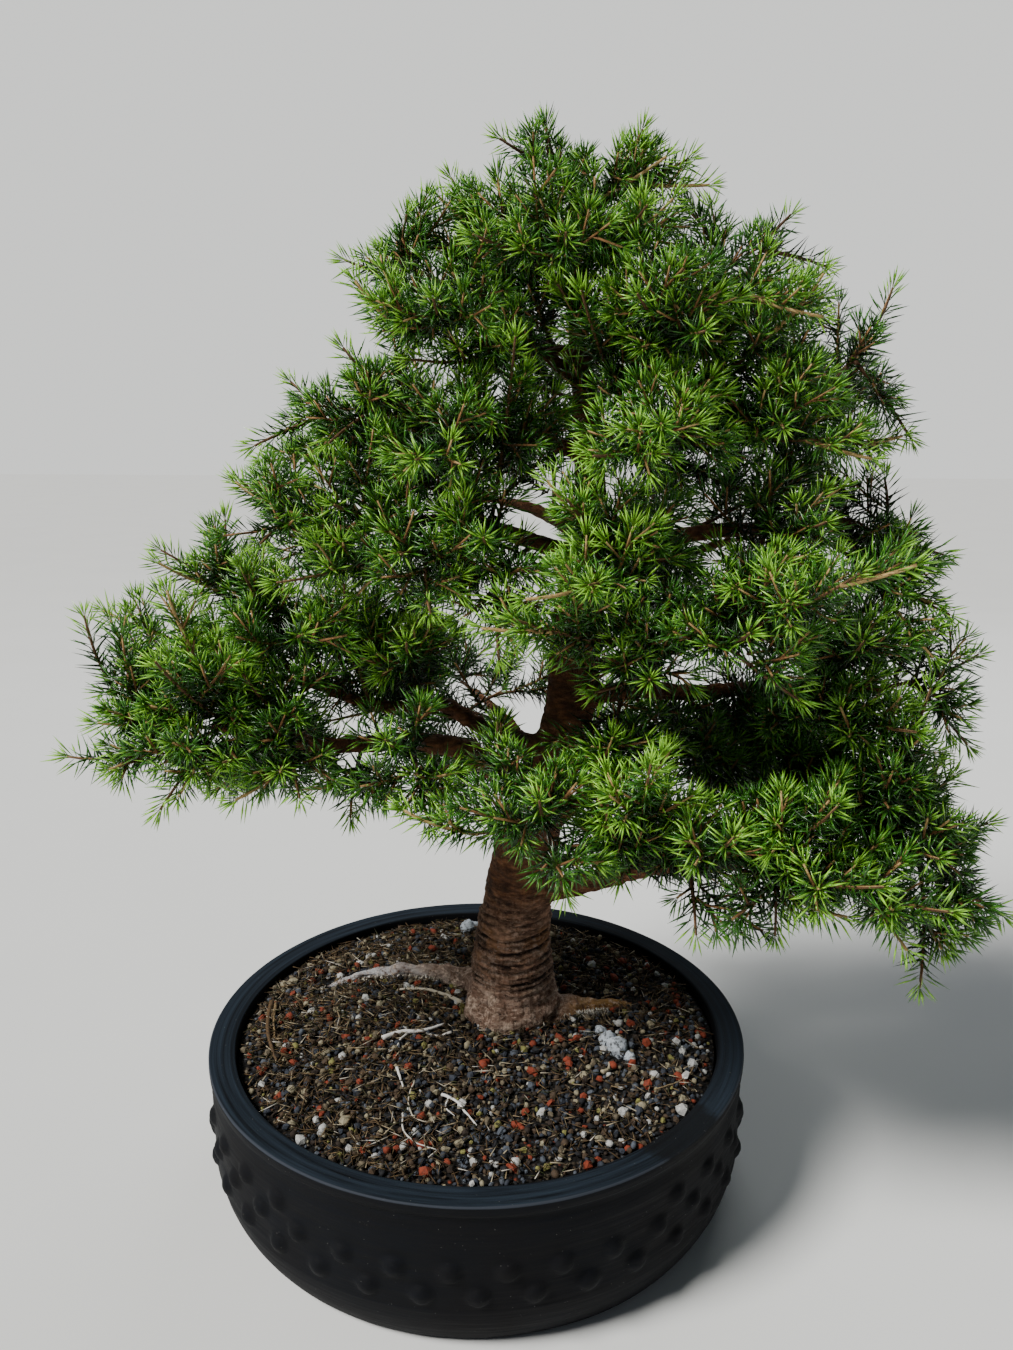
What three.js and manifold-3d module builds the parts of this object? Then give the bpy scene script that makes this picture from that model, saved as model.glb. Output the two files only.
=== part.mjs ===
// Spruce bonsai in a round drum pot. Millimetres, +Z up, +Y away from the viewer.
// The origin is the centre of the pot's underside, on the surface that it stands on.
import * as THREE from 'three';
import { mergeVertices } from 'three/addons/utils/BufferGeometryUtils.js';
import Module from 'manifold-3d';

const wasm = await Module();
wasm.setup();

// Clearance kept between neighbouring solids, and the distance under which corners are one corner
const GAP = 0.35;
const MERGE_DISTANCE = 1e-4;

// Pot
const POT_HEIGHT = 88;
const POT_RADIUS = 160;
const RIM_INNER_RADIUS = 145;
const BASE_RADIUS = 149;
const FLOOR_THICKNESS = 10;
const FLOOR_RADIUS = 138;
const POT_SEGMENTS = 36;
const WALL_RADIUS = 159.3;
const STUD_RADIUS = 6.2;
const STUD_TOP_RADIUS = 2.8;
const STUD_HEIGHT = 3;
const STUD_SUNK = 1.4;
const STUDS_PER_ROW = 36;
const STUD_UPPER_Z = 50;
const STUD_LOWER_Z = 36.5;
const STUD_SIDE_Z = 62;
const STUD_SIDES = 5;
const STUD_FIRST_ANGLE = -93.4;
const STUD_FROM_EDGE = 2.5;
const SIDE_STUDS = 4;
const SIDE_STUD_LEFT = -3.5;
const SIDE_STUD_RIGHT = 4.5;
const DRAIN_RADIUS = 11;
const DRAIN_OFFSET = 62;
const DRAIN_SIDES = 16;
const LINING_Z = 50;

// The pot's section, from the middle of its underside round the wall and rim to the middle of its floor:
// distance from the axis and height
const POT_SECTION = [
  [0, 0], [BASE_RADIUS, 0], [155.5, 12], [WALL_RADIUS, 29], [WALL_RADIUS, 70], [158.2, 79],
  [POT_RADIUS + 0.6, 83.5], [POT_RADIUS, POT_HEIGHT], [RIM_INNER_RADIUS, POT_HEIGHT],
  [RIM_INNER_RADIUS, LINING_Z], [FLOOR_RADIUS, FLOOR_THICKNESS], [0, FLOOR_THICKNESS],
];

// Soil and the screens over the drain holes
const SOIL_EDGE_Z = 79.5;
const SOIL_MOUND = 4;
const SOIL_SEGMENTS = 24;
const SOIL_ROUGHNESS = 1.1;
const SOIL_RINGS = [142, 122, 96, 66, 34, 0];
const SOIL_CLEARANCE = 1.6;
const SCREEN_SIDE = 38;
const SCREEN_THICKNESS = 1.2;
const SCREEN_OPENING = 14;

// Needles and shoots
const NEEDLE_LENGTH = 12;
const WHORLS_MAX = 4;
const WHORLS_MIN = 2;
const TWIG_PER_WHORL = 22;
const WHORL_SPACING = 14;
const WHORL_HEIGHT = 2.4;
const SHOOT_RADIUS = 1.35;
const TWIG_RADIUS = 1.9;
const SIDE_TWIG_LENGTH = 40;
const FORK_FRACTION = 0.36;
const NEEDLE_RADIUS = 0.75;
const NEEDLE_ROOT = 2.5;
const NEEDLE_CLEARANCE = 0.45;
const NEEDLE_LEAN = 54;
const TIP_NEEDLE_LEAN = 34;
const LEAN_SCATTER = 18;

// Twigs: the stretch without needles, the taper, and how a twig bends out of its neighbours' way
const BARE_STEP = 34;
const BARE_LEAST = 9;
const FORK_THICKNESS = 0.85;
const TWIG_TAPER = 1.4;
const TWIG_CLEARANCE = 1;
const FORK_STEP = 0.1;
const SIDE_TWIG_SLANT = 0.7;
const SIDE_TWIG_RISE = 20;
const START_ROOM = 6;
const BEND_TRIES = 14;
const BEND_TURN = 1.3;
const BEND_FIRST = 0.07;
const BEND_LEAST = 0.05;
const BEND_MORE = 0.02;
const BEND_LEAD = 0.12;

const TRUNK = {
  sides: 10,
  steps: 15,
  route: [
    [20, 22, 46], [20, 22, 66], [20, 22, 84], [21, 22, 100], [21, 22, 118], [22, 22, 140], [26, 23, 170],
    [32, 24, 206], [41, 25, 235], [50, 25, 260], [55, 25, 285], [57, 24, 316], [59, 22, 346],
    [63, 20, 386], [63, 19, 415], [60, 18, 447], [56, 18, 484], [52, 18, 520], [50, 18, 566],
  ],
  radii: [20, 29, 27, 22.5, 21, 20, 17, 15.5, 15, 15, 15.5, 12, 10, 8.5, 7.2, 6.4, 5.4, 4.2, 2.2],
};

const ROOTS = [
  {
    route: [[16, 24, 87], [-10, 50, 86], [-54, 61, 85], [-84, 56, 83.5], [-110, 44, 74]],
    radii: [11.5, 7.5, 6.2, 4.8, 2.5],
  },
  { route: [[24, 22, 86], [51, 16, 85], [80, 23, 83], [108, 33, 74]], radii: [12.5, 8, 5.5, 2.5] },
  { route: [[20, 20, 76], [4, -12, 72], [-20, -50, 58], [-36, -84, 40]], radii: [12, 8, 5, 2.5] },
  { route: [[22, 20, 76], [42, -10, 70], [70, -44, 56], [92, -70, 40]], radii: [12, 8, 5, 2.5] },
  { route: [[22, 24, 78], [34, 56, 74], [50, 90, 60], [60, 112, 42]], radii: [12, 8, 5, 2.5] },
];

// Each bare limb: its route from the trunk's middle outwards, and its radius at both ends
const LIMBS = {
  leftLow: {
    route: [
      [30, 24, 222], [-5, 8, 258], [-38, -5, 268], [-77, -12, 268], [-115, -20, 274], [-146, -25, 284],
    ],
    radii: [8.5, 3.2],
  },
  leftBack: {
    route: [[44, 25, 253], [1, 35, 266], [-24, 35, 280], [-53, 28, 279], [-87, 15, 293], [-113, 5, 313]],
    radii: [6.5, 2.8],
  },
  rightLow: {
    route: [[28, 23, 160], [67, 0, 180], [103, -35, 206], [138, -52, 217], [173, -60, 216], [210, -65, 209]],
    radii: [8, 3],
  },
  rightMid: {
    route: [[55, 25, 287], [95, 15, 294], [128, 6, 295], [166, -2, 301], [198, -10, 302], [225, -20, 304]],
    radii: [6.5, 2.8],
  },
  rightFront: {
    route: [[57, 24, 305], [87, -15, 320], [106, -50, 333], [122, -70, 344]],
    radii: [4.6, 2.6],
  },
  leftMid: {
    route: [[60, 22, 369], [42, 12, 377], [7, -5, 390], [-24, -18, 395], [-55, -30, 394], [-80, -35, 389]],
    radii: [6, 2.6],
  },
  rightUpper: {
    route: [[61, 22, 374], [92, 18, 378], [125, 14, 386], [161, 12, 389], [190, 5, 394], [211, -5, 392]],
    radii: [6.5, 2.8],
  },
  leftUpper: {
    route: [[62, 19, 427], [34, 5, 437], [-3, -8, 444], [-40, -15, 447], [-68, -20, 444]],
    radii: [5, 2.4],
  },
  rightHigh: {
    route: [[61, 19, 436], [90, 15, 442], [126, 8, 450], [162, 0, 458], [189, -5, 463]],
    radii: [5, 2.4],
  },
  leftTop: { route: [[58, 18, 466], [34, 5, 483], [2, -5, 503], [-26, -10, 512]], radii: [4.4, 2.4] },
  rightTop: { route: [[57, 18, 476], [87, 12, 494], [123, 8, 514], [150, 10, 525]], radii: [4.4, 2.4] },
  frontLow: { route: [[34, 24, 212], [40, -12, 222], [40, -45, 234], [36, -72, 246]], radii: [5.5, 2.6] },
  backLow: { route: [[36, 24, 224], [30, 66, 240], [12, 106, 254], [-8, 132, 264]], radii: [7, 2.8] },
  backLowRight: { route: [[32, 24, 198], [78, 52, 222], [126, 76, 238], [168, 88, 250]], radii: [7, 2.8] },
  backMid: { route: [[57, 24, 326], [72, 66, 340], [92, 106, 350]], radii: [6, 2.8] },
  backMidRight: { route: [[60, 22, 352], [108, 48, 364], [156, 72, 376]], radii: [5.5, 2.6] },
  backMidLeft: { route: [[62, 21, 382], [30, 58, 396], [-12, 84, 402]], radii: [5.5, 2.6] },
  backHigh: { route: [[60, 18, 450], [70, 58, 462], [82, 92, 468]], radii: [4.6, 2.4] },
  backHighLeft: { route: [[57, 18, 480], [26, 48, 492], [-4, 68, 500]], radii: [4.2, 2.4] },
};

// Each spray: the limb that it grows on, how far along it, and the points that its twigs reach
const SPRAYS = {
  left_low_tip: { limb: 'leftLow', at: 0.96, tips: [[-222, -35, 268], [-206, -35, 346]] },
  left_low_outer: { limb: 'leftLow', at: 0.86, tips: [[-143, -62, 336], [-159, -78, 254]] },
  left_low_middle: { limb: 'leftLow', at: 0.7, tips: [[-116, -66, 322], [-87, -82, 262]] },
  left_low_hanging: { limb: 'leftLow', at: 0.58, tips: [[-68, -42, 236], [-110, 26, 262]] },
  left_low_inner: { limb: 'leftLow', at: 0.4, tips: [[-42, -92, 296], [-22, -78, 246]] },
  left_back_tip: { limb: 'leftBack', at: 0.96, tips: [[-173, -5, 377], [-142, 15, 392]] },
  left_back_outer: { limb: 'leftBack', at: 0.86, tips: [[-122, -36, 372], [-84, -72, 344]] },
  left_back_middle: { limb: 'leftBack', at: 0.66, tips: [[-66, -52, 366], [-104, 62, 338]] },
  left_back_inner: { limb: 'leftBack', at: 0.46, tips: [[-34, -62, 338], [-56, 92, 306]] },
  left_mid_tip: { limb: 'leftMid', at: 0.96, tips: [[-124, -20, 416], [-104, -66, 388]] },
  left_mid_outer: { limb: 'leftMid', at: 0.8, tips: [[-65, -80, 408], [-76, 34, 420]] },
  left_mid_middle: { limb: 'leftMid', at: 0.6, tips: [[-33, -92, 386], [-18, -112, 362]] },
  left_mid_inner: { limb: 'leftMid', at: 0.38, tips: [[6, -110, 396], [13, -92, 336]] },
  left_upper_tip: { limb: 'leftUpper', at: 0.95, tips: [[-97, -10, 466], [-110, -42, 434]] },
  left_upper_middle: { limb: 'leftUpper', at: 0.7, tips: [[-66, -30, 482], [-69, -66, 436]] },
  left_upper_inner: { limb: 'leftUpper', at: 0.45, tips: [[-24, -108, 430], [-34, 52, 462]] },
  left_top_tip: { limb: 'leftTop', at: 0.94, tips: [[-67, -10, 526], [-34, -20, 546]] },
  left_top_middle: { limb: 'leftTop', at: 0.62, tips: [[-43, -56, 488], [-17, -82, 500]] },
  left_top_inner: { limb: 'leftTop', at: 0.4, tips: [[-13, 0, 567], [-24, 50, 540]] },
  apex_leader: { limb: 'trunk', at: 0.985, tips: [[35, 0, 592], [12, -14, 582]] },
  apex_right: { limb: 'trunk', at: 0.955, tips: [[84, 0, 590], [110, 12, 579]] },
  apex_front: { limb: 'trunk', at: 0.93, tips: [[42, -82, 528], [0, -62, 530]] },
  apex_back: { limb: 'trunk', at: 0.9, tips: [[80, -62, 543], [62, 74, 566]] },
  right_top_tip: { limb: 'rightTop', at: 0.94, tips: [[164, 10, 552], [188, 22, 528]] },
  right_top_middle: { limb: 'rightTop', at: 0.66, tips: [[138, -54, 504], [128, 44, 562]] },
  right_top_inner: { limb: 'rightTop', at: 0.4, tips: [[104, -92, 486], [74, -86, 502]] },
  right_high_tip: { limb: 'rightHigh', at: 0.95, tips: [[217, 0, 515], [226, -22, 438]] },
  right_high_middle: { limb: 'rightHigh', at: 0.68, tips: [[144, -82, 444], [176, 50, 498]] },
  right_high_inner: { limb: 'rightHigh', at: 0.36, tips: [[82, -120, 446], [54, -112, 432]] },
  right_upper_tip: { limb: 'rightUpper', at: 0.96, tips: [[250, -20, 378], [222, 2, 418]] },
  right_upper_outer: { limb: 'rightUpper', at: 0.78, tips: [[246, -44, 350], [214, 44, 400]] },
  right_upper_middle: { limb: 'rightUpper', at: 0.56, tips: [[164, -92, 402], [118, -112, 374]] },
  right_upper_inner: { limb: 'rightUpper', at: 0.3, tips: [[52, -130, 378], [44, -94, 412]] },
  right_mid_tip: { limb: 'rightMid', at: 0.96, tips: [[274, -20, 324], [268, -32, 276]] },
  right_mid_outer: { limb: 'rightMid', at: 0.76, tips: [[186, -92, 346], [232, 46, 322]] },
  right_front_tip: { limb: 'rightFront', at: 0.94, tips: [[124, -124, 356], [152, -112, 322]] },
  right_front_inner: { limb: 'rightFront', at: 0.6, tips: [[82, -114, 332], [60, -84, 318]] },
  right_low_tip: { limb: 'rightLow', at: 0.97, tips: [[278, -45, 236], [276, -76, 197], [230, -92, 164]] },
  right_low_outer: { limb: 'rightLow', at: 0.84, tips: [[266, -24, 256], [224, -112, 244]] },
  right_low_middle: { limb: 'rightLow', at: 0.68, tips: [[170, -124, 276], [152, -98, 196]] },
  right_low_inner: { limb: 'rightLow', at: 0.5, tips: [[121, -130, 262], [112, -100, 197]] },
  right_low_raised: { limb: 'rightLow', at: 0.36, tips: [[82, -128, 296], [74, -92, 224]] },
  front_low_tip: { limb: 'frontLow', at: 0.94, tips: [[32, -122, 276], [46, -108, 222]] },
  front_low_side: { limb: 'frontLow', at: 0.6, tips: [[2, -74, 240], [12, -46, 292]] },
  back_low_tip: { limb: 'backLow', at: 0.95, tips: [[-44, 160, 288], [22, 166, 272]], sides: [0.62] },
  back_low_side: { limb: 'backLow', at: 0.6, tips: [[-62, 112, 262], [66, 134, 250]], sides: [0.62] },
  back_low_right_tip: {
    limb: 'backLowRight', at: 0.95, tips: [[216, 104, 266], [176, 142, 272]], sides: [0.62],
  },
  back_low_right_side: {
    limb: 'backLowRight', at: 0.6, tips: [[196, 40, 236], [116, 136, 256]], sides: [0.62],
  },
  back_mid_tip: { limb: 'backMid', at: 0.94, tips: [[112, 158, 370], [48, 148, 346]], sides: [0.62] },
  back_mid_right_tip: {
    limb: 'backMidRight', at: 0.94, tips: [[206, 90, 390], [168, 122, 352]], sides: [0.62],
  },
  back_mid_left_tip: {
    limb: 'backMidLeft', at: 0.94, tips: [[-52, 106, 420], [8, 128, 400]], sides: [0.62],
  },
  back_high_tip: { limb: 'backHigh', at: 0.94, tips: [[112, 124, 484], [50, 122, 470]], sides: [0.62] },
  back_high_left_tip: {
    limb: 'backHighLeft', at: 0.94, tips: [[-38, 88, 512], [18, 96, 532]], sides: [0.62],
  },
};

const COLOURS = {
  pot: { color: 0x2a2b31, roughness: 0.72, metalness: 0 },
  soil: { color: 0x5b4c40, roughness: 0.96, metalness: 0 },
  screen: { color: 0x1c1d1c, roughness: 0.6, metalness: 0 },
  wood: { color: 0x6b4a38, roughness: 0.9, metalness: 0 },
  needles: { color: 0x3f7d2c, roughness: 0.55, metalness: 0 },
};

// How finely curves are measured
const FRAME_STEPS = 200;
const TEST_STEPS = 8;
const TWIG_CAPSULES = 6;
const LIMB_CAPSULES = 12;
const LIMB_SIDES = 5;

const vec = (point) => new THREE.Vector3(point[0], point[1], point[2]);

// Repeatable scatter between 0 and 1
function scatter(i, j = 0, k = 0) {
  const value = Math.sin(i * 12.9898 + j * 78.233 + k * 37.719) * 43758.5453;
  return value - Math.floor(value);
}

function radiusAlong(radii, t) {
  const position = t * (radii.length - 1);
  const index = Math.min(Math.floor(position), radii.length - 2);
  return THREE.MathUtils.lerp(radii[index], radii[index + 1], position - index);
}

function bare(geometry) {
  const clean = geometry.index ? geometry : geometry.clone();
  clean.deleteAttribute('normal');
  clean.deleteAttribute('uv');
  return mergeVertices(clean, MERGE_DISTANCE);
}

function toSolid(geometry) {
  const clean = bare(geometry);
  const vertProperties = new Float32Array(clean.attributes.position.array);
  const triVerts = new Uint32Array(clean.index.array);
  return new wasm.Manifold(new wasm.Mesh({ numProp: 3, vertProperties, triVerts }));
}

// The largest connected body of a solid, as a geometry: scraps left by a cut are dropped
function largestBody(solid) {
  const { vertProperties, triVerts } = solid.getMesh();
  const parent = Array.from({ length: vertProperties.length / 3 }, (_, i) => i);
  const find = (i) => {
    while (parent[i] !== i) {
      parent[i] = parent[parent[i]];
      i = parent[i];
    }
    return i;
  };
  for (let i = 0; i < triVerts.length; i += 3) {
    parent[find(triVerts[i])] = find(triVerts[i + 1]);
    parent[find(triVerts[i + 1])] = find(triVerts[i + 2]);
  }
  const bodies = new Map();
  for (let i = 0; i < triVerts.length; i += 3) {
    const root = find(triVerts[i]);
    if (!bodies.has(root)) bodies.set(root, []);
    bodies.get(root).push(triVerts[i], triVerts[i + 1], triVerts[i + 2]);
  }
  const index = [...bodies.values()].sort((a, b) => b.length - a.length)[0];
  const geometry = new THREE.BufferGeometry();
  geometry.setAttribute('position', new THREE.BufferAttribute(new Float32Array(vertProperties), 3));
  geometry.setIndex(index);
  return mergeVertices(geometry, MERGE_DISTANCE);
}

function toMesh(name, geometry, look) {
  const shown = geometry.toNonIndexed();
  shown.computeVertexNormals();
  const mesh = new THREE.Mesh(shown, new THREE.MeshStandardMaterial(look));
  mesh.name = name;
  return mesh;
}

// A closed tube along a curve. rings holds the fractions of its length that carry a ring of corners,
// and twist turns each ring on from the last by that share of one side.
function tube(curve, rings, radiusAt, sides, twist = 0, raise = null) {
  const steps = rings.length - 1;
  const base = new THREE.CylinderGeometry(1, 1, 1, sides, steps);
  const frames = curve.computeFrenetFrames(FRAME_STEPS);
  const position = base.attributes.position;
  const ringOf = [];
  const middle = new THREE.Vector3();
  for (let i = 0; i < position.count; i += 1) {
    const ring = Math.round((position.getY(i) + 0.5) * steps);
    ringOf.push(ring);
    const fraction = rings[ring];
    const frame = Math.round(fraction * FRAME_STEPS);
    const spread = Math.hypot(position.getX(i), position.getZ(i)) * radiusAt(fraction);
    const angle = Math.atan2(position.getX(i), position.getZ(i)) - (ring * twist * 2 * Math.PI) / sides;
    curve.getPointAt(fraction, middle);
    middle.addScaledVector(frames.normals[frame], Math.sin(angle) * spread);
    middle.addScaledVector(frames.binormals[frame], -Math.cos(angle) * spread);
    position.setXYZ(i, middle.x, middle.y, middle.z);
  }
  return raise ? raiseNeedles(base, ringOf, frames, rings, raise) : base;
}

// Raises a needle from each triangle of a tube for which raise gives a point
function raiseNeedles(base, ringOf, frames, rings, raise) {
  const position = base.attributes.position;
  const points = [];
  const corners = [new THREE.Vector3(), new THREE.Vector3(), new THREE.Vector3()];
  for (let i = 0; i < base.index.count; i += 3) {
    const ids = [0, 1, 2].map((n) => base.index.getX(i + n));
    ids.forEach((id, n) => corners[n].fromBufferAttribute(position, id));
    const low = Math.min(...ids.map((id) => ringOf[id]));
    const high = Math.max(...ids.map((id) => ringOf[id]));
    const tip = high > low ? raise(low, corners, i / 3) : null;
    if (tip) {
      for (let n = 0; n < 3; n += 1) points.push(corners[n].clone(), corners[(n + 1) % 3].clone(), tip);
    } else {
      points.push(...corners.map((corner) => corner.clone()));
    }
  }
  return new THREE.BufferGeometry().setFromPoints(points);
}

// Even rings along a tube
const evenRings = (steps) => Array.from({ length: steps + 1 }, (_, i) => i / steps);

// Shortest distance between two segments, each given by its two ends
function segmentDistance(p1, q1, p2, q2) {
  const d1 = q1.clone().sub(p1);
  const d2 = q2.clone().sub(p2);
  const r = p1.clone().sub(p2);
  const a = d1.dot(d1);
  const e = d2.dot(d2);
  const f = d2.dot(r);
  const c = d1.dot(r);
  const b = d1.dot(d2);
  const denominator = a * e - b * b;
  let s = denominator > 1e-9 ? THREE.MathUtils.clamp((b * f - c * e) / denominator, 0, 1) : 0;
  let t = (b * s + f) / e;
  if (t < 0 || t > 1) {
    t = THREE.MathUtils.clamp(t, 0, 1);
    s = THREE.MathUtils.clamp((b * t - c) / a, 0, 1);
  }
  return p1.clone().addScaledVector(d1, s).distanceTo(p2.clone().addScaledVector(d2, t));
}

// Slim capsules that stand for wood, stems and needles in the test of what is clear of what
const capsules = [];

function capsulesOf(curve, radiusAt, owner, twig, steps) {
  const points = Array.from({ length: steps + 1 }, (_, i) => curve.getPointAt(i / steps));
  const radiusOf = (i) => radiusAt((i + 0.5) / steps);
  return points.slice(1).map((b, i) => ({ a: points[i], b, radius: radiusOf(i), owner, twig }));
}

function clearOf(candidate, clearance, skip) {
  return capsules.every((other) => {
    if (skip(other)) return true;
    const reach = candidate.radius + other.radius + clearance;
    const span = candidate.a.distanceTo(candidate.b) / 2 + other.a.distanceTo(other.b) / 2 + reach;
    const apart = candidate.a.clone().add(candidate.b).sub(other.a).sub(other.b).length() / 2;
    if (apart > span) return true;
    return segmentDistance(candidate.a, candidate.b, other.a, other.b) > reach;
  });
}

// Pot: a turned body with raised studs in staggered rows and two drain holes
function makePot() {
  const section = POT_SECTION.map(([r, z]) => new THREE.Vector2(r, z));
  const turned = new THREE.LatheGeometry(section, POT_SEGMENTS);
  turned.rotateX(Math.PI / 2);
  turned.rotateZ(THREE.MathUtils.degToRad(STUD_FIRST_ANGLE + STUD_FROM_EDGE));
  let pot = toSolid(turned);
  const addStud = (degrees, z) => {
    const length = STUD_HEIGHT + STUD_SUNK;
    const stud = new THREE.CylinderGeometry(STUD_TOP_RADIUS, STUD_RADIUS, length, STUD_SIDES);
    stud.rotateZ(-Math.PI / 2);
    stud.translate(WALL_RADIUS + (STUD_HEIGHT - STUD_SUNK) / 2, 0, z);
    stud.rotateZ(THREE.MathUtils.degToRad(degrees));
    pot = pot.add(toSolid(stud));
  };
  const pitch = 360 / STUDS_PER_ROW;
  for (let i = 0; i < STUDS_PER_ROW; i += 1) {
    addStud(STUD_FIRST_ANGLE + i * pitch, STUD_UPPER_Z);
    addStud(STUD_FIRST_ANGLE + (i + 0.5) * pitch, STUD_LOWER_Z);
  }
  for (let i = 0; i < SIDE_STUDS; i += 1) {
    addStud(STUD_FIRST_ANGLE + (SIDE_STUD_LEFT - i) * pitch, STUD_SIDE_Z);
    addStud(STUD_FIRST_ANGLE + (SIDE_STUD_RIGHT + i) * pitch, STUD_SIDE_Z);
  }
  [-1, 1].forEach((side) => {
    const drain = new THREE.CylinderGeometry(DRAIN_RADIUS, DRAIN_RADIUS, 3 * FLOOR_THICKNESS, DRAIN_SIDES);
    drain.rotateX(Math.PI / 2);
    drain.translate(side * DRAIN_OFFSET, 0, FLOOR_THICKNESS / 2);
    pot = pot.subtract(toSolid(drain));
  });
  return largestBody(pot);
}

// A square of plastic mesh over one drain hole
function makeScreen(place) {
  const sheet = new THREE.BoxGeometry(SCREEN_SIDE, SCREEN_SIDE, SCREEN_THICKNESS);
  const offset = SCREEN_OPENING / 2 + (SCREEN_SIDE - 2 * SCREEN_OPENING) / 6;
  let screen = toSolid(sheet);
  [[-1, -1], [-1, 1], [1, -1], [1, 1]].forEach(([column, row]) => {
    const opening = new THREE.BoxGeometry(SCREEN_OPENING, SCREEN_OPENING, 3 * SCREEN_THICKNESS);
    opening.translate(column * offset, row * offset, 0);
    screen = screen.subtract(toSolid(opening));
  });
  const geometry = largestBody(screen);
  geometry.translate(place * DRAIN_OFFSET, 0, FLOOR_THICKNESS + GAP + SCREEN_THICKNESS / 2);
  return geometry;
}

// Trunk, roots and limbs, swollen by grow where a neighbour is cut to fit them
function woodTubes(grow) {
  const trunkCurve = new THREE.CatmullRomCurve3(TRUNK.route.map(vec), false, 'centripetal');
  const trunkRadius = (t) => radiusAlong(TRUNK.radii, t) + grow;
  const trunk = tube(trunkCurve, evenRings(TRUNK.steps), trunkRadius, TRUNK.sides);
  const roots = ROOTS.map((root) => {
    const curve = new THREE.CatmullRomCurve3(root.route.map(vec), false, 'centripetal');
    return tube(curve, evenRings(3), (t) => radiusAlong(root.radii, t) + grow, LIMB_SIDES);
  });
  const limbs = Object.values(LIMBS).map((limb) => {
    const curve = new THREE.CatmullRomCurve3(limb.route.map(vec), false, 'centripetal');
    return tube(curve, evenRings(limb.route.length), (t) => radiusAlong(limb.radii, t) + grow, LIMB_SIDES);
  });
  return [trunk, ...roots, ...limbs];
}

function fuse(geometries) {
  return geometries.map(toSolid).reduce((whole, piece) => whole.add(piece));
}

// Soil: a low rough mound, cut to fit the roots and the screens
function makeSoil(grownWood) {
  const edge = RIM_INNER_RADIUS - SOIL_CLEARANCE;
  const bottom = FLOOR_THICKNESS + GAP;
  const section = [
    [0, bottom], [FLOOR_RADIUS - 1, bottom], [edge, LINING_Z], [edge, SOIL_EDGE_Z],
    ...SOIL_RINGS.map((r) => [r, SOIL_EDGE_Z + SOIL_MOUND * (1 - (r / edge) ** 2)]),
  ].map(([r, z]) => new THREE.Vector2(r, z));
  const soil = bare(new THREE.LatheGeometry(section, SOIL_SEGMENTS));
  soil.rotateX(Math.PI / 2);
  const position = soil.attributes.position;
  for (let i = 0; i < position.count; i += 1) {
    const reach = Math.hypot(position.getX(i), position.getY(i));
    if (position.getZ(i) > SOIL_EDGE_Z && reach < edge - 1) {
      const lift = scatter(Math.round(position.getX(i)), Math.round(position.getY(i))) - 0.5;
      position.setZ(i, position.getZ(i) + 2 * SOIL_ROUGHNESS * lift);
    }
  }
  let solid = toSolid(soil).subtract(grownWood);
  [-1, 1].forEach((side) => {
    const room = new THREE.BoxGeometry(SCREEN_SIDE + 2 * GAP, SCREEN_SIDE + 2 * GAP, 2 * SCREEN_THICKNESS);
    room.translate(side * DRAIN_OFFSET, 0, FLOOR_THICKNESS + 2 * GAP);
    solid = solid.subtract(toSolid(room));
  });
  return largestBody(solid);
}

const WORLD_UP = new THREE.Vector3(0, 0, 1);

// Curve of a twig from start to tip, leaving along lead, and bent further each try until it is clear
function bendTwig(start, lead, tip, isClear) {
  const reach = start.distanceTo(tip);
  const along = tip.clone().sub(start).normalize();
  const side = new THREE.Vector3().crossVectors(along, WORLD_UP).normalize();
  const up = new THREE.Vector3().crossVectors(side, along);
  for (let tries = 0; tries < BEND_TRIES; tries += 1) {
    const turn = tries * BEND_TURN;
    const amount = (tries === 0 ? BEND_FIRST : BEND_LEAST + BEND_MORE * tries) * reach;
    const control = start.clone().lerp(tip, 0.5).addScaledVector(lead, BEND_LEAD * reach);
    control.addScaledVector(up, -amount * Math.cos(turn)).addScaledVector(side, amount * Math.sin(turn));
    const curve = new THREE.QuadraticBezierCurve3(start, control, tip);
    if (isClear(curve)) return curve;
  }
  throw new Error('a twig has no clear way');
}

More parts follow.
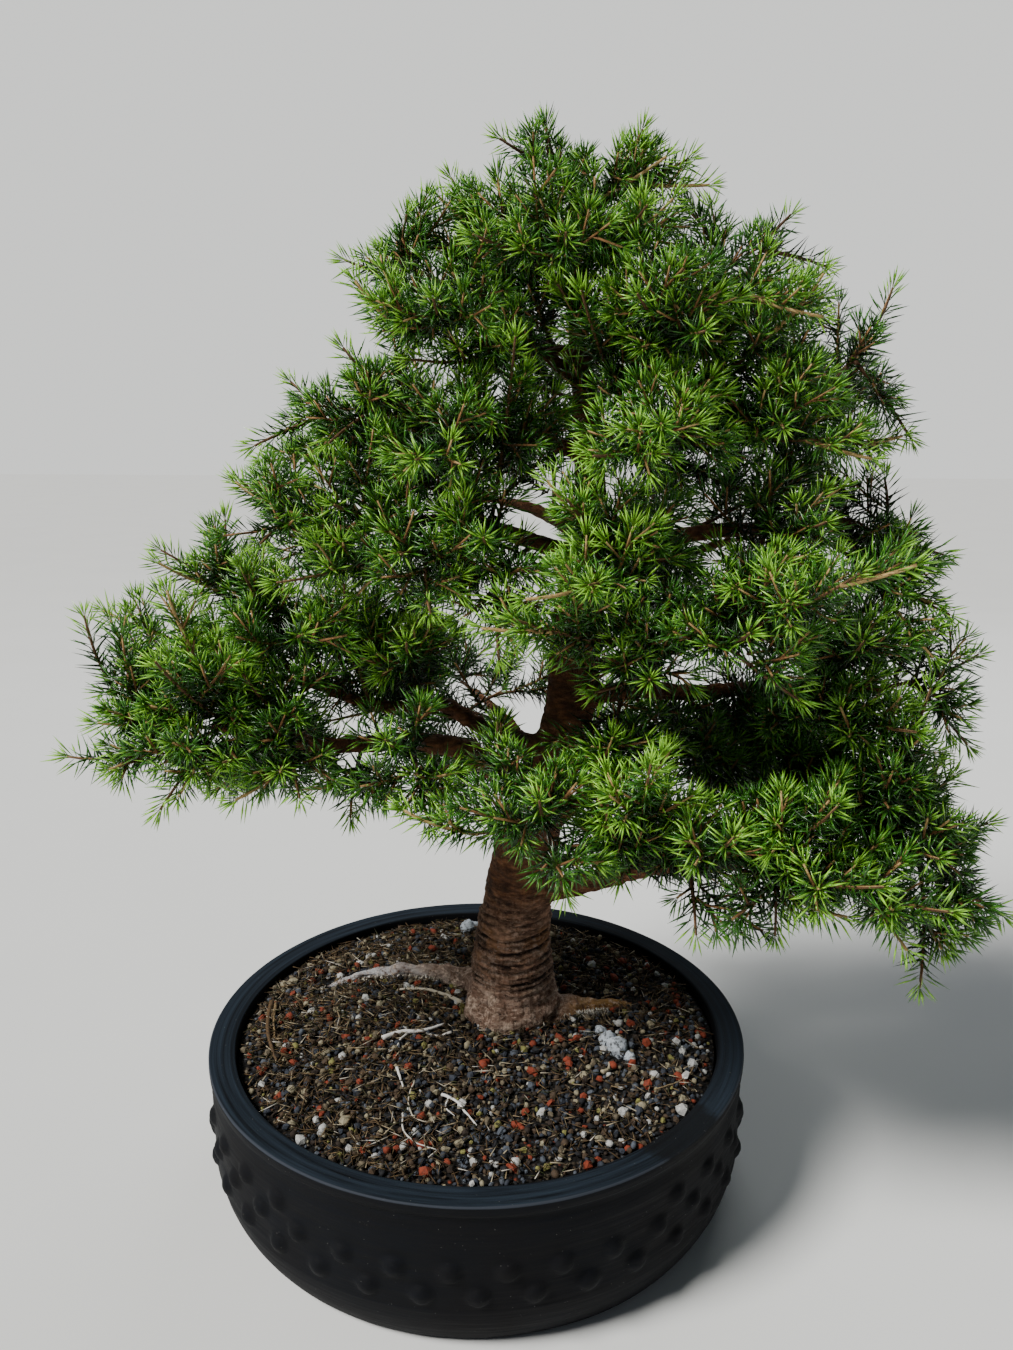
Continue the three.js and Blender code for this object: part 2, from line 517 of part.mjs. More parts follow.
// The twigs of one spray: one from the limb to its first tip, the others forking off it
function planSpray(name, spray, order) {
  const limb = spray.limb === 'trunk' ? TRUNK : LIMBS[spray.limb];
  const limbCurve = new THREE.CatmullRomCurve3(limb.route.map(vec), false, 'centripetal');
  const start = limbCurve.getPointAt(spray.at);
  const clearStart = radiusAlong(limb.radii, spray.at) + START_ROOM;
  const isOwn = (other, piece) => other.owner === name
    || (other.owner === spray.limb && piece.a.distanceTo(start) < clearStart);
  const isClear = (curve) => capsulesOf(curve, () => TWIG_RADIUS, name, 0, TEST_STEPS)
    .every((piece) => clearOf(piece, TWIG_CLEARANCE, (other) => isOwn(other, piece)));
  const tips = spray.tips.map(vec);
  const centre = tips.reduce((sum, tip) => sum.add(tip), new THREE.Vector3()).divideScalar(tips.length);
  const lead = centre.clone().sub(start).normalize();
  const twigs = [];
  const place = (curve) => {
    capsules.push(...capsulesOf(curve, () => TWIG_RADIUS, name, twigs.length, TWIG_CAPSULES));
    twigs.push(curve);
  };
  place(bendTwig(start, lead, tips[0], isClear));
  tips.slice(1).forEach((tip, n) => {
    const fraction = FORK_FRACTION + FORK_STEP * n;
    const fork = twigs[0].getPointAt(fraction);
    place(bendTwig(fork, twigs[0].getTangentAt(fraction), tip, isClear));
  });
  (spray.sides ?? []).forEach((fraction) => {
    const fork = twigs[0].getPointAt(fraction);
    const along = twigs[0].getTangentAt(fraction);
    const away = fork.clone().sub(tips[1]).addScaledVector(WORLD_UP, SIDE_TWIG_RISE);
    away.addScaledVector(along, -away.dot(along)).normalize();
    const reach = SIDE_TWIG_SLANT * SIDE_TWIG_LENGTH;
    const tip = fork.clone().addScaledVector(along, reach).addScaledVector(away, reach);
    place(bendTwig(fork, along, tip, isClear));
  });
  return { name, order, twigs };
}

// Rings along a twig: pairs close together carry the needles, spaced from the tip inwards
function twigRings(length) {
  const rings = [];
  const whorls = THREE.MathUtils.clamp(Math.round(length / TWIG_PER_WHORL), WHORLS_MIN, WHORLS_MAX);
  for (let i = 0; i < whorls; i += 1) {
    const high = length - i * WHORL_SPACING;
    if (high - WHORL_HEIGHT < BARE_LEAST) break;
    rings.unshift(high - WHORL_HEIGHT, high);
  }
  const bareLength = rings[0];
  const bareSteps = Math.max(1, Math.round(bareLength / BARE_STEP));
  const barePart = Array.from({ length: bareSteps }, (_, i) => (i / bareSteps) * bareLength);
  return { fractions: [...barePart, ...rings].map((distance) => distance / length), bareSteps };
}

// One spray: its twigs as slim tubes, with whorls of needles towards their tips
function growSpray(plan) {
  const pieces = plan.twigs.map((curve, n) => {
    const { fractions, bareSteps } = twigRings(curve.getLength());
    const thick = n === 0 ? TWIG_RADIUS : TWIG_RADIUS * FORK_THICKNESS;
    const radiusAt = (t) => THREE.MathUtils.lerp(thick, SHOOT_RADIUS, Math.min(1, TWIG_TAPER * t));
    const last = fractions.length - 1;
    const raise = (ring, corners, face) => {
      const isWhorl = ring >= bareSteps && (ring - bareSteps) % 2 === 0;
      if (!isWhorl) return null;
      const middle = corners[0].clone().add(corners[1]).add(corners[2]).divideScalar(3);
      const fraction = (fractions[ring] + fractions[ring + 1]) / 2;
      const along = curve.getTangentAt(fraction);
      const out = middle.clone().sub(curve.getPointAt(fraction));
      out.addScaledVector(along, -out.dot(along)).normalize();
      const middleLean = ring === last - 1 ? TIP_NEEDLE_LEAN : NEEDLE_LEAN;
      const leanScatter = LEAN_SCATTER * (scatter(face, plan.order, ring) - 0.5);
      const lean = THREE.MathUtils.degToRad(middleLean + leanScatter);
      const direction = out.multiplyScalar(Math.sin(lean)).addScaledVector(along, Math.cos(lean));
      const needleLength = NEEDLE_LENGTH * (0.9 + 0.2 * scatter(face, plan.order, n));
      const tip = middle.clone().addScaledVector(direction, needleLength);
      const root = middle.clone().addScaledVector(direction, NEEDLE_ROOT);
      const needle = { a: root, b: tip, radius: NEEDLE_RADIUS, owner: plan.name, twig: n };
      const isOwn = (other) => other.owner === plan.name && other.twig === n;
      if (!clearOf(needle, NEEDLE_CLEARANCE, isOwn)) return null;
      capsules.push(needle);
      return tip;
    };
    return tube(curve, fractions, radiusAt, 3, 0.5, raise);
  });
  return fuse(pieces);
}

const bonsai = new THREE.Group();

const wood = largestBody(fuse(woodTubes(0)));
const grownWood = fuse(woodTubes(GAP));
bonsai.add(toMesh('pot', makePot(), COLOURS.pot));
bonsai.add(toMesh('soil', makeSoil(grownWood), COLOURS.soil));
bonsai.add(toMesh('drain_screen_left', makeScreen(-1), COLOURS.screen));
bonsai.add(toMesh('drain_screen_right', makeScreen(1), COLOURS.screen));
bonsai.add(toMesh('trunk_and_limbs', wood, COLOURS.wood));

const woodCapsules = (owner, limb) => {
  const curve = new THREE.CatmullRomCurve3(limb.route.map(vec), false, 'centripetal');
  return capsulesOf(curve, (t) => radiusAlong(limb.radii, t), owner, 0, LIMB_CAPSULES);
};
capsules.push(...woodCapsules('trunk', TRUNK));
Object.entries(LIMBS).forEach(([owner, limb]) => capsules.push(...woodCapsules(owner, limb)));

const plans = Object.entries(SPRAYS).map(([name, spray], order) => planSpray(name, spray, order));
plans.forEach((plan) => {
  const solid = growSpray(plan).subtract(grownWood);
  bonsai.add(toMesh(`spray_${plan.name}`, largestBody(solid), COLOURS.needles));
});

export default bonsai;
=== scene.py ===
"""Spruce bonsai in a round studded drum pot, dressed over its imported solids.

Everything is in metres in the part's own frame: the origin is the centre of the pot's underside, +Z is up
and +Y points away from the viewer.
"""

import logging
import math
from dataclasses import dataclass, field
from enum import Enum
from typing import Callable, Optional, Sequence

import bmesh
import bpy
import numpy as np
from mathutils import Matrix, Vector, noise


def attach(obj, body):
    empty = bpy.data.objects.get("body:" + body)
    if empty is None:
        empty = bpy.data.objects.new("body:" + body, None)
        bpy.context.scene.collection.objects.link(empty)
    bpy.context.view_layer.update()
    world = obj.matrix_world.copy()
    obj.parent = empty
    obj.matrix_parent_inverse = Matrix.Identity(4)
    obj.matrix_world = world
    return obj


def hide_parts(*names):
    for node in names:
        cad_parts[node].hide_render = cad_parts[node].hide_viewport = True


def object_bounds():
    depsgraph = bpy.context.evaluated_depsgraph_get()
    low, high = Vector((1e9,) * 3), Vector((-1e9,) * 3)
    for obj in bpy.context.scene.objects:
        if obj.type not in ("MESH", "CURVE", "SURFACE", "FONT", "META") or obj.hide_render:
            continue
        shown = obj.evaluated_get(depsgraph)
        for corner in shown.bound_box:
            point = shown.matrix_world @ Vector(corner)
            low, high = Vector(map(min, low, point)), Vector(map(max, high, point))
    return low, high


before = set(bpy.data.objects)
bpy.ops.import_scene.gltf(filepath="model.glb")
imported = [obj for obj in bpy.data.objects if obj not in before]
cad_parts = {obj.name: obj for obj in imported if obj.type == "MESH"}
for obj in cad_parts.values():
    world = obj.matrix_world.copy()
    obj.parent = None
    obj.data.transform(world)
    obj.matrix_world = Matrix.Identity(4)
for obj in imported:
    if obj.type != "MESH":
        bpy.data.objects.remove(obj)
CAD_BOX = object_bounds()

LOG = logging.getLogger("bonsai")
MM = 0.001
NOISE_SEED = 1
UP = Vector((0.0, 0.0, 1.0))
FULL_TURN = 6.283
GOLDEN_ANGLE = math.radians(137.508)
Point = tuple[float, float, float]
Colour = tuple[float, float, float]


def scatter(i: float, j: float = 0.0, k: float = 0.0) -> float:
    """Gives a repeatable draw between 0 and 1.

    Args:
        i: First number that picks the draw.
        j: Second number that picks the draw.
        k: Third number that picks the draw.

    Returns:
        A number from 0 up to 1, the same on every run.
    """
    value = math.sin(i * 12.9898 + j * 78.233 + k * 37.719) * 43758.5453
    return value - math.floor(value)


def spread(low: float, high: float, i: float, j: float = 0.0, k: float = 0.0) -> float:
    """Gives a repeatable draw between two limits."""
    return low + (high - low) * scatter(i, j, k)


def vec_mm(point: Sequence[float]) -> Vector:
    """Turns a point in millimetres into a vector in metres."""
    return Vector(point) * MM


def smooth_step(low: float, high: float, value: float) -> float:
    """Gives 0 below low, 1 above high and a smooth rise between them."""
    t = min(1.0, max(0.0, (value - low) / (high - low)))
    return t * t * (3.0 - 2.0 * t)


class Route:
    """A smooth line in space that is asked for points by their share of its length."""

    def __init__(self, points: Sequence[Vector]) -> None:
        """Keeps the points and adds up the length.

        Args:
            points: The line's points, close together, from its start to its end.
        """
        self.points = list(points)
        self.reach = [0.0]
        for a, b in zip(self.points, self.points[1:]):
            self.reach.append(self.reach[-1] + (b - a).length)
        self.length = self.reach[-1]

    @classmethod
    def through(cls, knots: Sequence[Vector], steps: int = 16) -> "Route":
        """Makes a centripetal Catmull-Rom line through its knots.

        Args:
            knots: The points that the line passes through.
            steps: How many short lengths there are between two knots.

        Returns:
            The route.
        """
        ends = [knots[0] * 2 - knots[1], *knots, knots[-1] * 2 - knots[-2]]
        points = [knots[0].copy()]
        for a, b, c, d in zip(ends, ends[1:], ends[2:], ends[3:]):
            t0, t1 = 0.0, (b - a).length ** 0.5
            t2 = t1 + (c - b).length ** 0.5
            t3 = t2 + (d - c).length ** 0.5
            for step in range(1, steps + 1):
                t = t1 + (t2 - t1) * step / steps
                ab = a * ((t1 - t) / (t1 - t0)) + b * ((t - t0) / (t1 - t0))
                bc = b * ((t2 - t) / (t2 - t1)) + c * ((t - t1) / (t2 - t1))
                cd = c * ((t3 - t) / (t3 - t2)) + d * ((t - t2) / (t3 - t2))
                abc = ab * ((t2 - t) / (t2 - t0)) + bc * ((t - t0) / (t2 - t0))
                bcd = bc * ((t3 - t) / (t3 - t1)) + cd * ((t - t1) / (t3 - t1))
                points.append(abc * ((t2 - t) / (t2 - t1)) + bcd * ((t - t1) / (t2 - t1)))
        return cls(points)

    @classmethod
    def arch(cls, start: Vector, control: Vector, end: Vector, steps: int = 24) -> "Route":
        """Makes a quadratic arch from start to end, pulled towards control."""
        shares = [step / steps for step in range(steps + 1)]
        return cls([start * (1 - t) ** 2 + control * (2 * t * (1 - t)) + end * t ** 2 for t in shares])

    def at(self, share: float) -> Vector:
        """Gives the point at a share of the length.

        Args:
            share: 0 at the start and 1 at the end.

        Returns:
            The point there.
        """
        target = min(1.0, max(0.0, share)) * self.length
        low, high = 0, len(self.reach) - 1
        while high - low > 1:
            middle = (low + high) // 2
            low, high = (middle, high) if self.reach[middle] <= target else (low, middle)
        span = self.reach[high] - self.reach[low]
        return self.points[low].lerp(self.points[high], (target - self.reach[low]) / span if span else 0.0)

    def along(self, share: float) -> Vector:
        """Gives the direction of the line at a share of its length."""
        return (self.at(min(1.0, share + 0.02)) - self.at(max(0.0, share - 0.02))).normalized()


def facing(direction: Vector, roll: float = 0.0) -> Matrix:
    """Gives the turn that lays +Z along a direction.

    Args:
        direction: Where +Z should point.
        roll: A turn about the direction itself, in radians.

    Returns:
        A 4 by 4 rotation.
    """
    return direction.to_track_quat("Z", "Y").to_matrix().to_4x4() @ Matrix.Rotation(roll, 4, "Z")


def sweep(bm: bmesh.types.BMesh, route: Route, radius: Callable[[float], float], sides: int,
          rings: int) -> None:
    """Extrudes a ring of corners along a route into a closed tube.

    Args:
        bm: The mesh that the tube is added to.
        route: The tube's middle line.
        radius: The tube's radius at a share of the length.
        sides: How many corners a ring has.
        rings: How many lengths the tube has.
    """
    heading = route.along(0.0)
    turn = facing(heading)

    def place(share: float, new_heading: Vector) -> Matrix:
        """Turns the ring from its last heading to a new one.

        Args:
            share: Where the ring stands on the route.
            new_heading: The route's direction there.

        Returns:
            The ring's place, turn and size.
        """
        nonlocal heading, turn
        turn = heading.rotation_difference(new_heading).to_matrix().to_4x4() @ turn
        heading = new_heading
        size = radius(share)
        return Matrix.Translation(route.at(share)) @ turn @ Matrix.Diagonal((size, size, size, 1.0))

    matrix = place(0.0, heading)
    ring = bmesh.ops.create_circle(bm, cap_ends=False, segments=sides, radius=1.0, matrix=matrix)
    edges = list({edge for vert in ring["verts"] for edge in vert.link_edges})
    bmesh.ops.contextual_create(bm, geom=edges)
    for step in range(1, rings + 1):
        share = step / rings
        following = place(share, route.along(share))
        made = bmesh.ops.extrude_edge_only(bm, edges=edges)["geom"]
        verts = [item for item in made if isinstance(item, bmesh.types.BMVert)]
        edges = [item for item in made if isinstance(item, bmesh.types.BMEdge)]
        bmesh.ops.transform(bm, matrix=following @ matrix.inverted(), verts=verts)
        matrix = following
    bmesh.ops.contextual_create(bm, geom=edges)


def spin_section(section: Sequence[tuple[float, float]], steps: int) -> bmesh.types.BMesh:
    """Spins a section round the upright axis.

    Args:
        section: The reach and the height of its points.
        steps: How many columns it gets.

    Returns:
        The spun skin.
    """
    bm = bmesh.new()
    verts = [bm.verts.new((reach, 0.0, height)) for reach, height in section]
    edges = [bm.edges.new(pair) for pair in zip(verts, verts[1:])]
    bmesh.ops.spin(bm, geom=verts + edges, cent=(0, 0, 0), axis=(0, 0, 1), angle=2 * math.pi, steps=steps,
                   use_merge=True)
    bmesh.ops.remove_doubles(bm, verts=bm.verts, dist=1e-6)
    return bm


def to_mesh(name: str, bm: bmesh.types.BMesh) -> bpy.types.Mesh:
    """Turns a bmesh into a mesh and frees it.

    Args:
        name: The mesh's name.
        bm: What it is made from.

    Returns:
        The mesh.
    """
    mesh = bpy.data.meshes.new(name)
    bm.to_mesh(mesh)
    bm.free()
    return mesh


def add_copy(bm: bmesh.types.BMesh, pattern: bpy.types.Mesh, matrix: Matrix, **values: object) -> None:
    """Adds a moved copy of a mesh.

    Args:
        bm: The mesh that the copy is added to.
        pattern: The mesh that is copied.
        matrix: Where the copy stands.
        values: Numbers stored on the copy's points, by attribute name.
    """
    piece = pattern.copy()
    piece.transform(matrix)
    for name, value in values.items():
        stored = piece.attributes.get(name) or piece.attributes.new(name, "FLOAT", "POINT")
        numbers = np.broadcast_to(np.asarray(value, np.float32), len(piece.vertices))
        stored.data.foreach_set("value", numbers.copy())
    bm.from_mesh(piece)
    bpy.data.meshes.remove(piece)


def add_tube(bm: bmesh.types.BMesh, route: Route, radius: Callable[[float], float], sides: int, rings: int,
             slot: int = 0, **values: object) -> None:
    """Adds a closed tube along a route.

    Args:
        bm: The mesh that the tube is added to.
        route: The tube's middle line.
        radius: The tube's radius at a share of the length.
        sides: How many corners a ring has.
        rings: How many lengths the tube has.
        slot: The tube's material slot.
        values: Numbers stored on the tube's points, by attribute name.
    """
    tube = bmesh.new()
    sweep(tube, route, radius, sides, rings)
    bmesh.ops.recalc_face_normals(tube, faces=tube.faces)
    for face in tube.faces:
        face.material_index = slot
    mesh = to_mesh("tube", tube)
    add_copy(bm, mesh, Matrix.Identity(4), **values)
    bpy.data.meshes.remove(mesh)


def to_object(name: str, bm: bmesh.types.BMesh, materials: Sequence[bpy.types.Material],
              is_smooth: bool = True, fix_normals: bool = True) -> bpy.types.Object:
    """Turns a bmesh into an object at the origin.

    Args:
        name: The object's name.
        bm: The mesh, which is freed.
        materials: The object's materials in slot order.
        is_smooth: Whether the faces are shaded smooth.
        fix_normals: Whether the faces are turned outwards first.

    Returns:
        The object, linked to the scene.
    """
    if fix_normals:
        bmesh.ops.recalc_face_normals(bm, faces=bm.faces)
    mesh = to_mesh(name, bm)
    mesh.polygons.foreach_set("use_smooth", [is_smooth] * len(mesh.polygons))
    for material in materials:
        mesh.materials.append(material)
    piece = bpy.data.objects.new(name, mesh)
    bpy.context.scene.collection.objects.link(piece)
    return piece


def apply_modifiers(piece: bpy.types.Object) -> None:
    """Puts the result of a piece's modifiers into its mesh.

    Args:
        piece: The object that carries them.
    """
    done = bpy.data.meshes.new_from_object(piece.evaluated_get(bpy.context.evaluated_depsgraph_get()))
    piece.modifiers.clear()
    piece.data = done


def keep(piece: bpy.types.Object, slot: str, *nodes: str) -> None:
    """Fixes a finished piece to the body, hides the solids that it replaces and logs its face count.

    Args:
        piece: The finished piece.
        slot: Not used.
        nodes: The solids that it replaces.
    """
    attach(piece, "root")
    if nodes:
        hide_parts(*nodes)
    LOG.info("%s: %d faces", piece.name, len(piece.data.polygons))


class NodeBoard:
    """A material's shader nodes, with short calls that add and join them."""

    def __init__(self, name: str) -> None:
        """Starts a material with only its Principled shader.

        Args:
            name: The material's name.
        """
        self.material = bpy.data.materials.new(name)
        self.material.use_nodes = True
        self.tree = self.material.node_tree
        self.shader = self.tree.nodes["Principled BSDF"]
        self.place = self.add("ShaderNodeTexCoord").outputs["Object"]

    def add(self, kind: str, **settings: object) -> bpy.types.Node:
        """Adds a node and sets its options.

        Args:
            kind: The kind of node.
            settings: Its options.

        Returns:
            The node.
        """
        node = self.tree.nodes.new(kind)
        for option, value in settings.items():
            setattr(node, option, value)
        return node

    def join(self, source: object, socket: bpy.types.NodeSocket) -> None:
        """Links an output to a socket, or sets the socket to a plain value.

        Args:
            source: An output, or a value that is set.
            socket: The input.
        """
        if isinstance(source, bpy.types.NodeSocket):
            self.tree.links.new(source, socket)
        else:
            socket.default_value = source

    def grain(self, scale: float, detail: float = 4.0, rough: float = 0.55, place: object = None) -> object:
        """Adds a noise pattern.

        Args:
            scale: How many patches there are in a metre.
            detail: How many finer layers it has.
            rough: How strong the finer layers are.
            place: The coordinates, where they aren't the object's own.

        Returns:
            The pattern's output, about 0.2 to 0.8.
        """
        node = self.add("ShaderNodeTexNoise")
        self.join(place or self.place, node.inputs["Vector"])
        node.inputs["Scale"].default_value = scale
        node.inputs["Detail"].default_value = detail
        node.inputs["Roughness"].default_value = rough
        return node.outputs["Fac"]

    def cells(self, scale: float, place: object = None) -> object:
        """Adds a Voronoi pattern and gives its distance.

        Args:
            scale: How many cells a metre holds.
            place: The coordinates, where they aren't the object's own.

        Returns:
            The pattern's output.
        """
        node = self.add("ShaderNodeTexVoronoi", feature="F1")
        self.join(place or self.place, node.inputs["Vector"])
        node.inputs["Scale"].default_value = scale
        return node.outputs["Distance"]

    def cell_tone(self, scale: float) -> object:
        """Gives one random value to each cell of a Voronoi pattern.

        Args:
            scale: How many cells a metre holds.

        Returns:
            The tone's output.
        """
        node = self.add("ShaderNodeTexVoronoi", feature="F1")
        self.join(self.place, node.inputs["Vector"])
        node.inputs["Scale"].default_value = scale
        parts = self.add("ShaderNodeSeparateColor")
        self.join(node.outputs["Color"], parts.inputs[0])
        return parts.outputs[0]

    def maths(self, operation: str, a: object, b: object) -> object:
        """Adds a maths node.

        Args:
            operation: What the node does.
            a: The first value.
            b: The second value.

        Returns:
            The result's output.
        """
        node = self.add("ShaderNodeMath", operation=operation)
        self.join(a, node.inputs[0])
        self.join(b, node.inputs[1])
        return node.outputs[0]

    def times(self, a: object, b: object) -> object:
        """Multiplies two values."""
        return self.maths("MULTIPLY", a, b)

    def plus(self, a: object, b: object) -> object:
        """Adds two values."""
        return self.maths("ADD", a, b)

    def limits(self, value: object, low: float, high: float) -> object:
        """Stretches low to high into 0 to 1, clamped.

        Args:
            value: The value.
            low: What becomes 0.
            high: What becomes 1.

        Returns:
            The stretched value.
        """
        node = self.add("ShaderNodeMapRange", clamp=True)
        self.join(value, node.inputs["Value"])
        node.inputs["From Min"].default_value = low
        node.inputs["From Max"].default_value = high
        return node.outputs["Result"]

    def axes(self) -> tuple[object, object, object]:
        """Gives the object's X, Y and Z as three outputs.

        Returns:
            The three outputs.
        """
        node = self.add("ShaderNodeSeparateXYZ")
        self.join(self.place, node.inputs[0])
        return node.outputs[0], node.outputs[1], node.outputs[2]

    def away(self, place: object, centre: Point) -> object:
        """Gives the distance of a place from a fixed point.

        Args:
            place: The place.
            centre: The fixed point.

        Returns:
            The distance's output.
        """
        node = self.add("ShaderNodeVectorMath", operation="DISTANCE")
        self.join(place, node.inputs[0])
        node.inputs[1].default_value = centre
        return node.outputs["Value"]

    def combine(self, x: object, y: object, z: object) -> object:
        """Makes a vector from three values.

        Args:
            x: Its x.
            y: Its y.
            z: Its z.

        Returns:
            The vector's output.
        """
        node = self.add("ShaderNodeCombineXYZ")
        for value, socket in zip((x, y, z), node.inputs):
            self.join(value, socket)
        return node.outputs[0]

    def blend(self, share: object, a: object, b: object) -> object:
        """Mixes two colours.

        Args:
            share: How much of the second there is.
            a: The first colour or output.
            b: The second colour or output.

        Returns:
            The mixed colour's output.
        """
        node = self.add("ShaderNodeMix", data_type="RGBA", blend_type="MIX")
        self.join(share, node.inputs["Factor"])
        for value, socket in ((a, node.inputs[6]), (b, node.inputs[7])):
            self.join((*value, 1.0) if isinstance(value, tuple) else value, socket)
        return node.outputs[2]

    def ramp(self, value: object, stops: Sequence[tuple[float, Colour]], is_stepped: bool = False) -> object:
        """Turns a value into a colour.

        Args:
            value: The value's output.
            stops: Positions and their colours, in order.
            is_stepped: Whether the colours change in steps.

        Returns:
            The colour's output.
        """
        node = self.add("ShaderNodeValToRGB")
        node.color_ramp.interpolation = "CONSTANT" if is_stepped else "LINEAR"
        elements = node.color_ramp.elements
        while len(elements) < len(stops):
            elements.new(0.5)
        for element, (position, colour) in zip(elements, stops):
            element.position = position
            element.color = (*colour, 1.0)
        self.join(value, node.inputs[0])
        return node.outputs[0]

    def attribute(self, name: str) -> object:
        """Reads a number stored on the mesh's points."""
        return self.add("ShaderNodeAttribute", attribute_name=name).outputs["Fac"]

    def bump(self, height: object, distance: float, strength: float, under: object = None) -> object:
        """Adds a bump from a height pattern.

        Args:
            height: The pattern.
            distance: The depth of its full range in metres.
            strength: How much of it shows.
            under: Another bump that lies under this one.

        Returns:
            The normal's output.
        """
        node = self.add("ShaderNodeBump")
        node.inputs["Distance"].default_value = distance
        node.inputs["Strength"].default_value = strength
        self.join(height, node.inputs["Height"])
        if under is not None:
            self.join(under, node.inputs["Normal"])
        return node.outputs[0]

    def finish(self, colour: object, roughness: object, normal: object = None,
               specular: float = 0.5) -> bpy.types.Material:
        """Joins the patterns to the shader.

        Args:
            colour: The base colour.
            roughness: The roughness.
            normal: The bumped normal, if there is one.
            specular: The strength of the plain reflection.

        Returns:
            The finished material.
        """
        self.join((*colour, 1.0) if isinstance(colour, tuple) else colour, self.shader.inputs["Base Color"])
        self.join(roughness, self.shader.inputs["Roughness"])
        self.shader.inputs["Specular IOR Level"].default_value = specular
        if normal is not None:
            self.join(normal, self.shader.inputs["Normal"])
        return self.material


@dataclass(frozen=True)
class ClayFinish:
    """Unglazed charcoal clay with turning marks, a bluish rim top lightened as painted light from above, a
    painted highlight line along its outer edge and a darker damp patch.
    """

    dark: Colour = (0.0015, 0.0019, 0.0031)
    pale: Colour = (0.0038, 0.0047, 0.0075)
    warm: Colour = (0.0052, 0.0048, 0.0055)
    # rim is the rim top's lighter bluish tone, painted light from above
    rim: Colour = (0.0250, 0.0390, 0.0580)
    # edge is the colour of the painted highlight line along the rim's outer edge
    edge: Colour = (0.0420, 0.0490, 0.0640)
    rim_low: float = 0.0868
    rim_reach: float = 0.1594
    damp: Colour = (0.0040, 0.0042, 0.0048)
    speck: Colour = (0.200, 0.200, 0.190)
    patch: Point = (0.106, -0.102, 0.088)
    patch_radius: float = 0.026

    def material(self) -> bpy.types.Material:
        """Makes the material.

        Returns:
            The finished material.
        """
        board = NodeBoard("charcoal_clay")
        x, y, z = board.axes()
        reach = board.away(board.combine(x, y, 0.0), (0.0, 0.0, 0.0))
        turned = board.combine(board.times(reach, 30.0), board.times(z, 30.0), board.times(x, 1.2))
        marks = board.grain(14.0, 6.0, 0.6, place=turned)
        cloud = board.grain(22.0, 5.0, 0.6)
        fine = board.grain(900.0, 3.0, 0.7)
        colour = board.blend(board.limits(marks, 0.35, 0.7), self.dark, self.pale)
        colour = board.blend(board.limits(cloud, 0.42, 0.75), colour, self.warm)
        # painted light: the rim's top gets a lighter bluish tone than the wall
        on_rim = board.limits(z, self.rim_low, self.rim_low + 0.0007)
        lit_rim_tone = board.blend(board.limits(marks, 0.3, 0.75), self.dark, self.rim)
        colour = board.blend(board.times(on_rim, 0.85), colour, lit_rim_tone)
        # a thin painted highlight along the rim's outer top edge
        outermost = board.limits(reach, self.rim_reach, self.rim_reach + 0.0005)
        edge_highlight_mask = board.times(outermost, board.limits(z, self.rim_low + 0.0001, self.rim_low + 0.0005))
        colour = board.blend(board.times(edge_highlight_mask, 0.8), colour, self.edge)
        ragged = board.plus(board.away(board.place, self.patch), board.times(board.grain(120.0), 0.02))
        wet = board.limits(ragged, self.patch_radius + 0.012, self.patch_radius + 0.006)
        colour = board.blend(board.times(wet, 0.8), colour, self.damp)
        specks = board.limits(board.cells(520.0), 0.10, 0.06)
        sparse = board.limits(board.grain(260.0, 1.0), 0.60, 0.64)
        colour = board.blend(board.times(specks, sparse), colour, self.speck)
        roughness = board.limits(board.plus(marks, board.times(cloud, 0.5)), -0.75, 1.25)
        relief = board.bump(marks, 0.0006, 0.55)
        relief = board.bump(fine, 0.0002, 0.5, under=relief)
        return board.finish(colour, roughness, relief, 0.15)


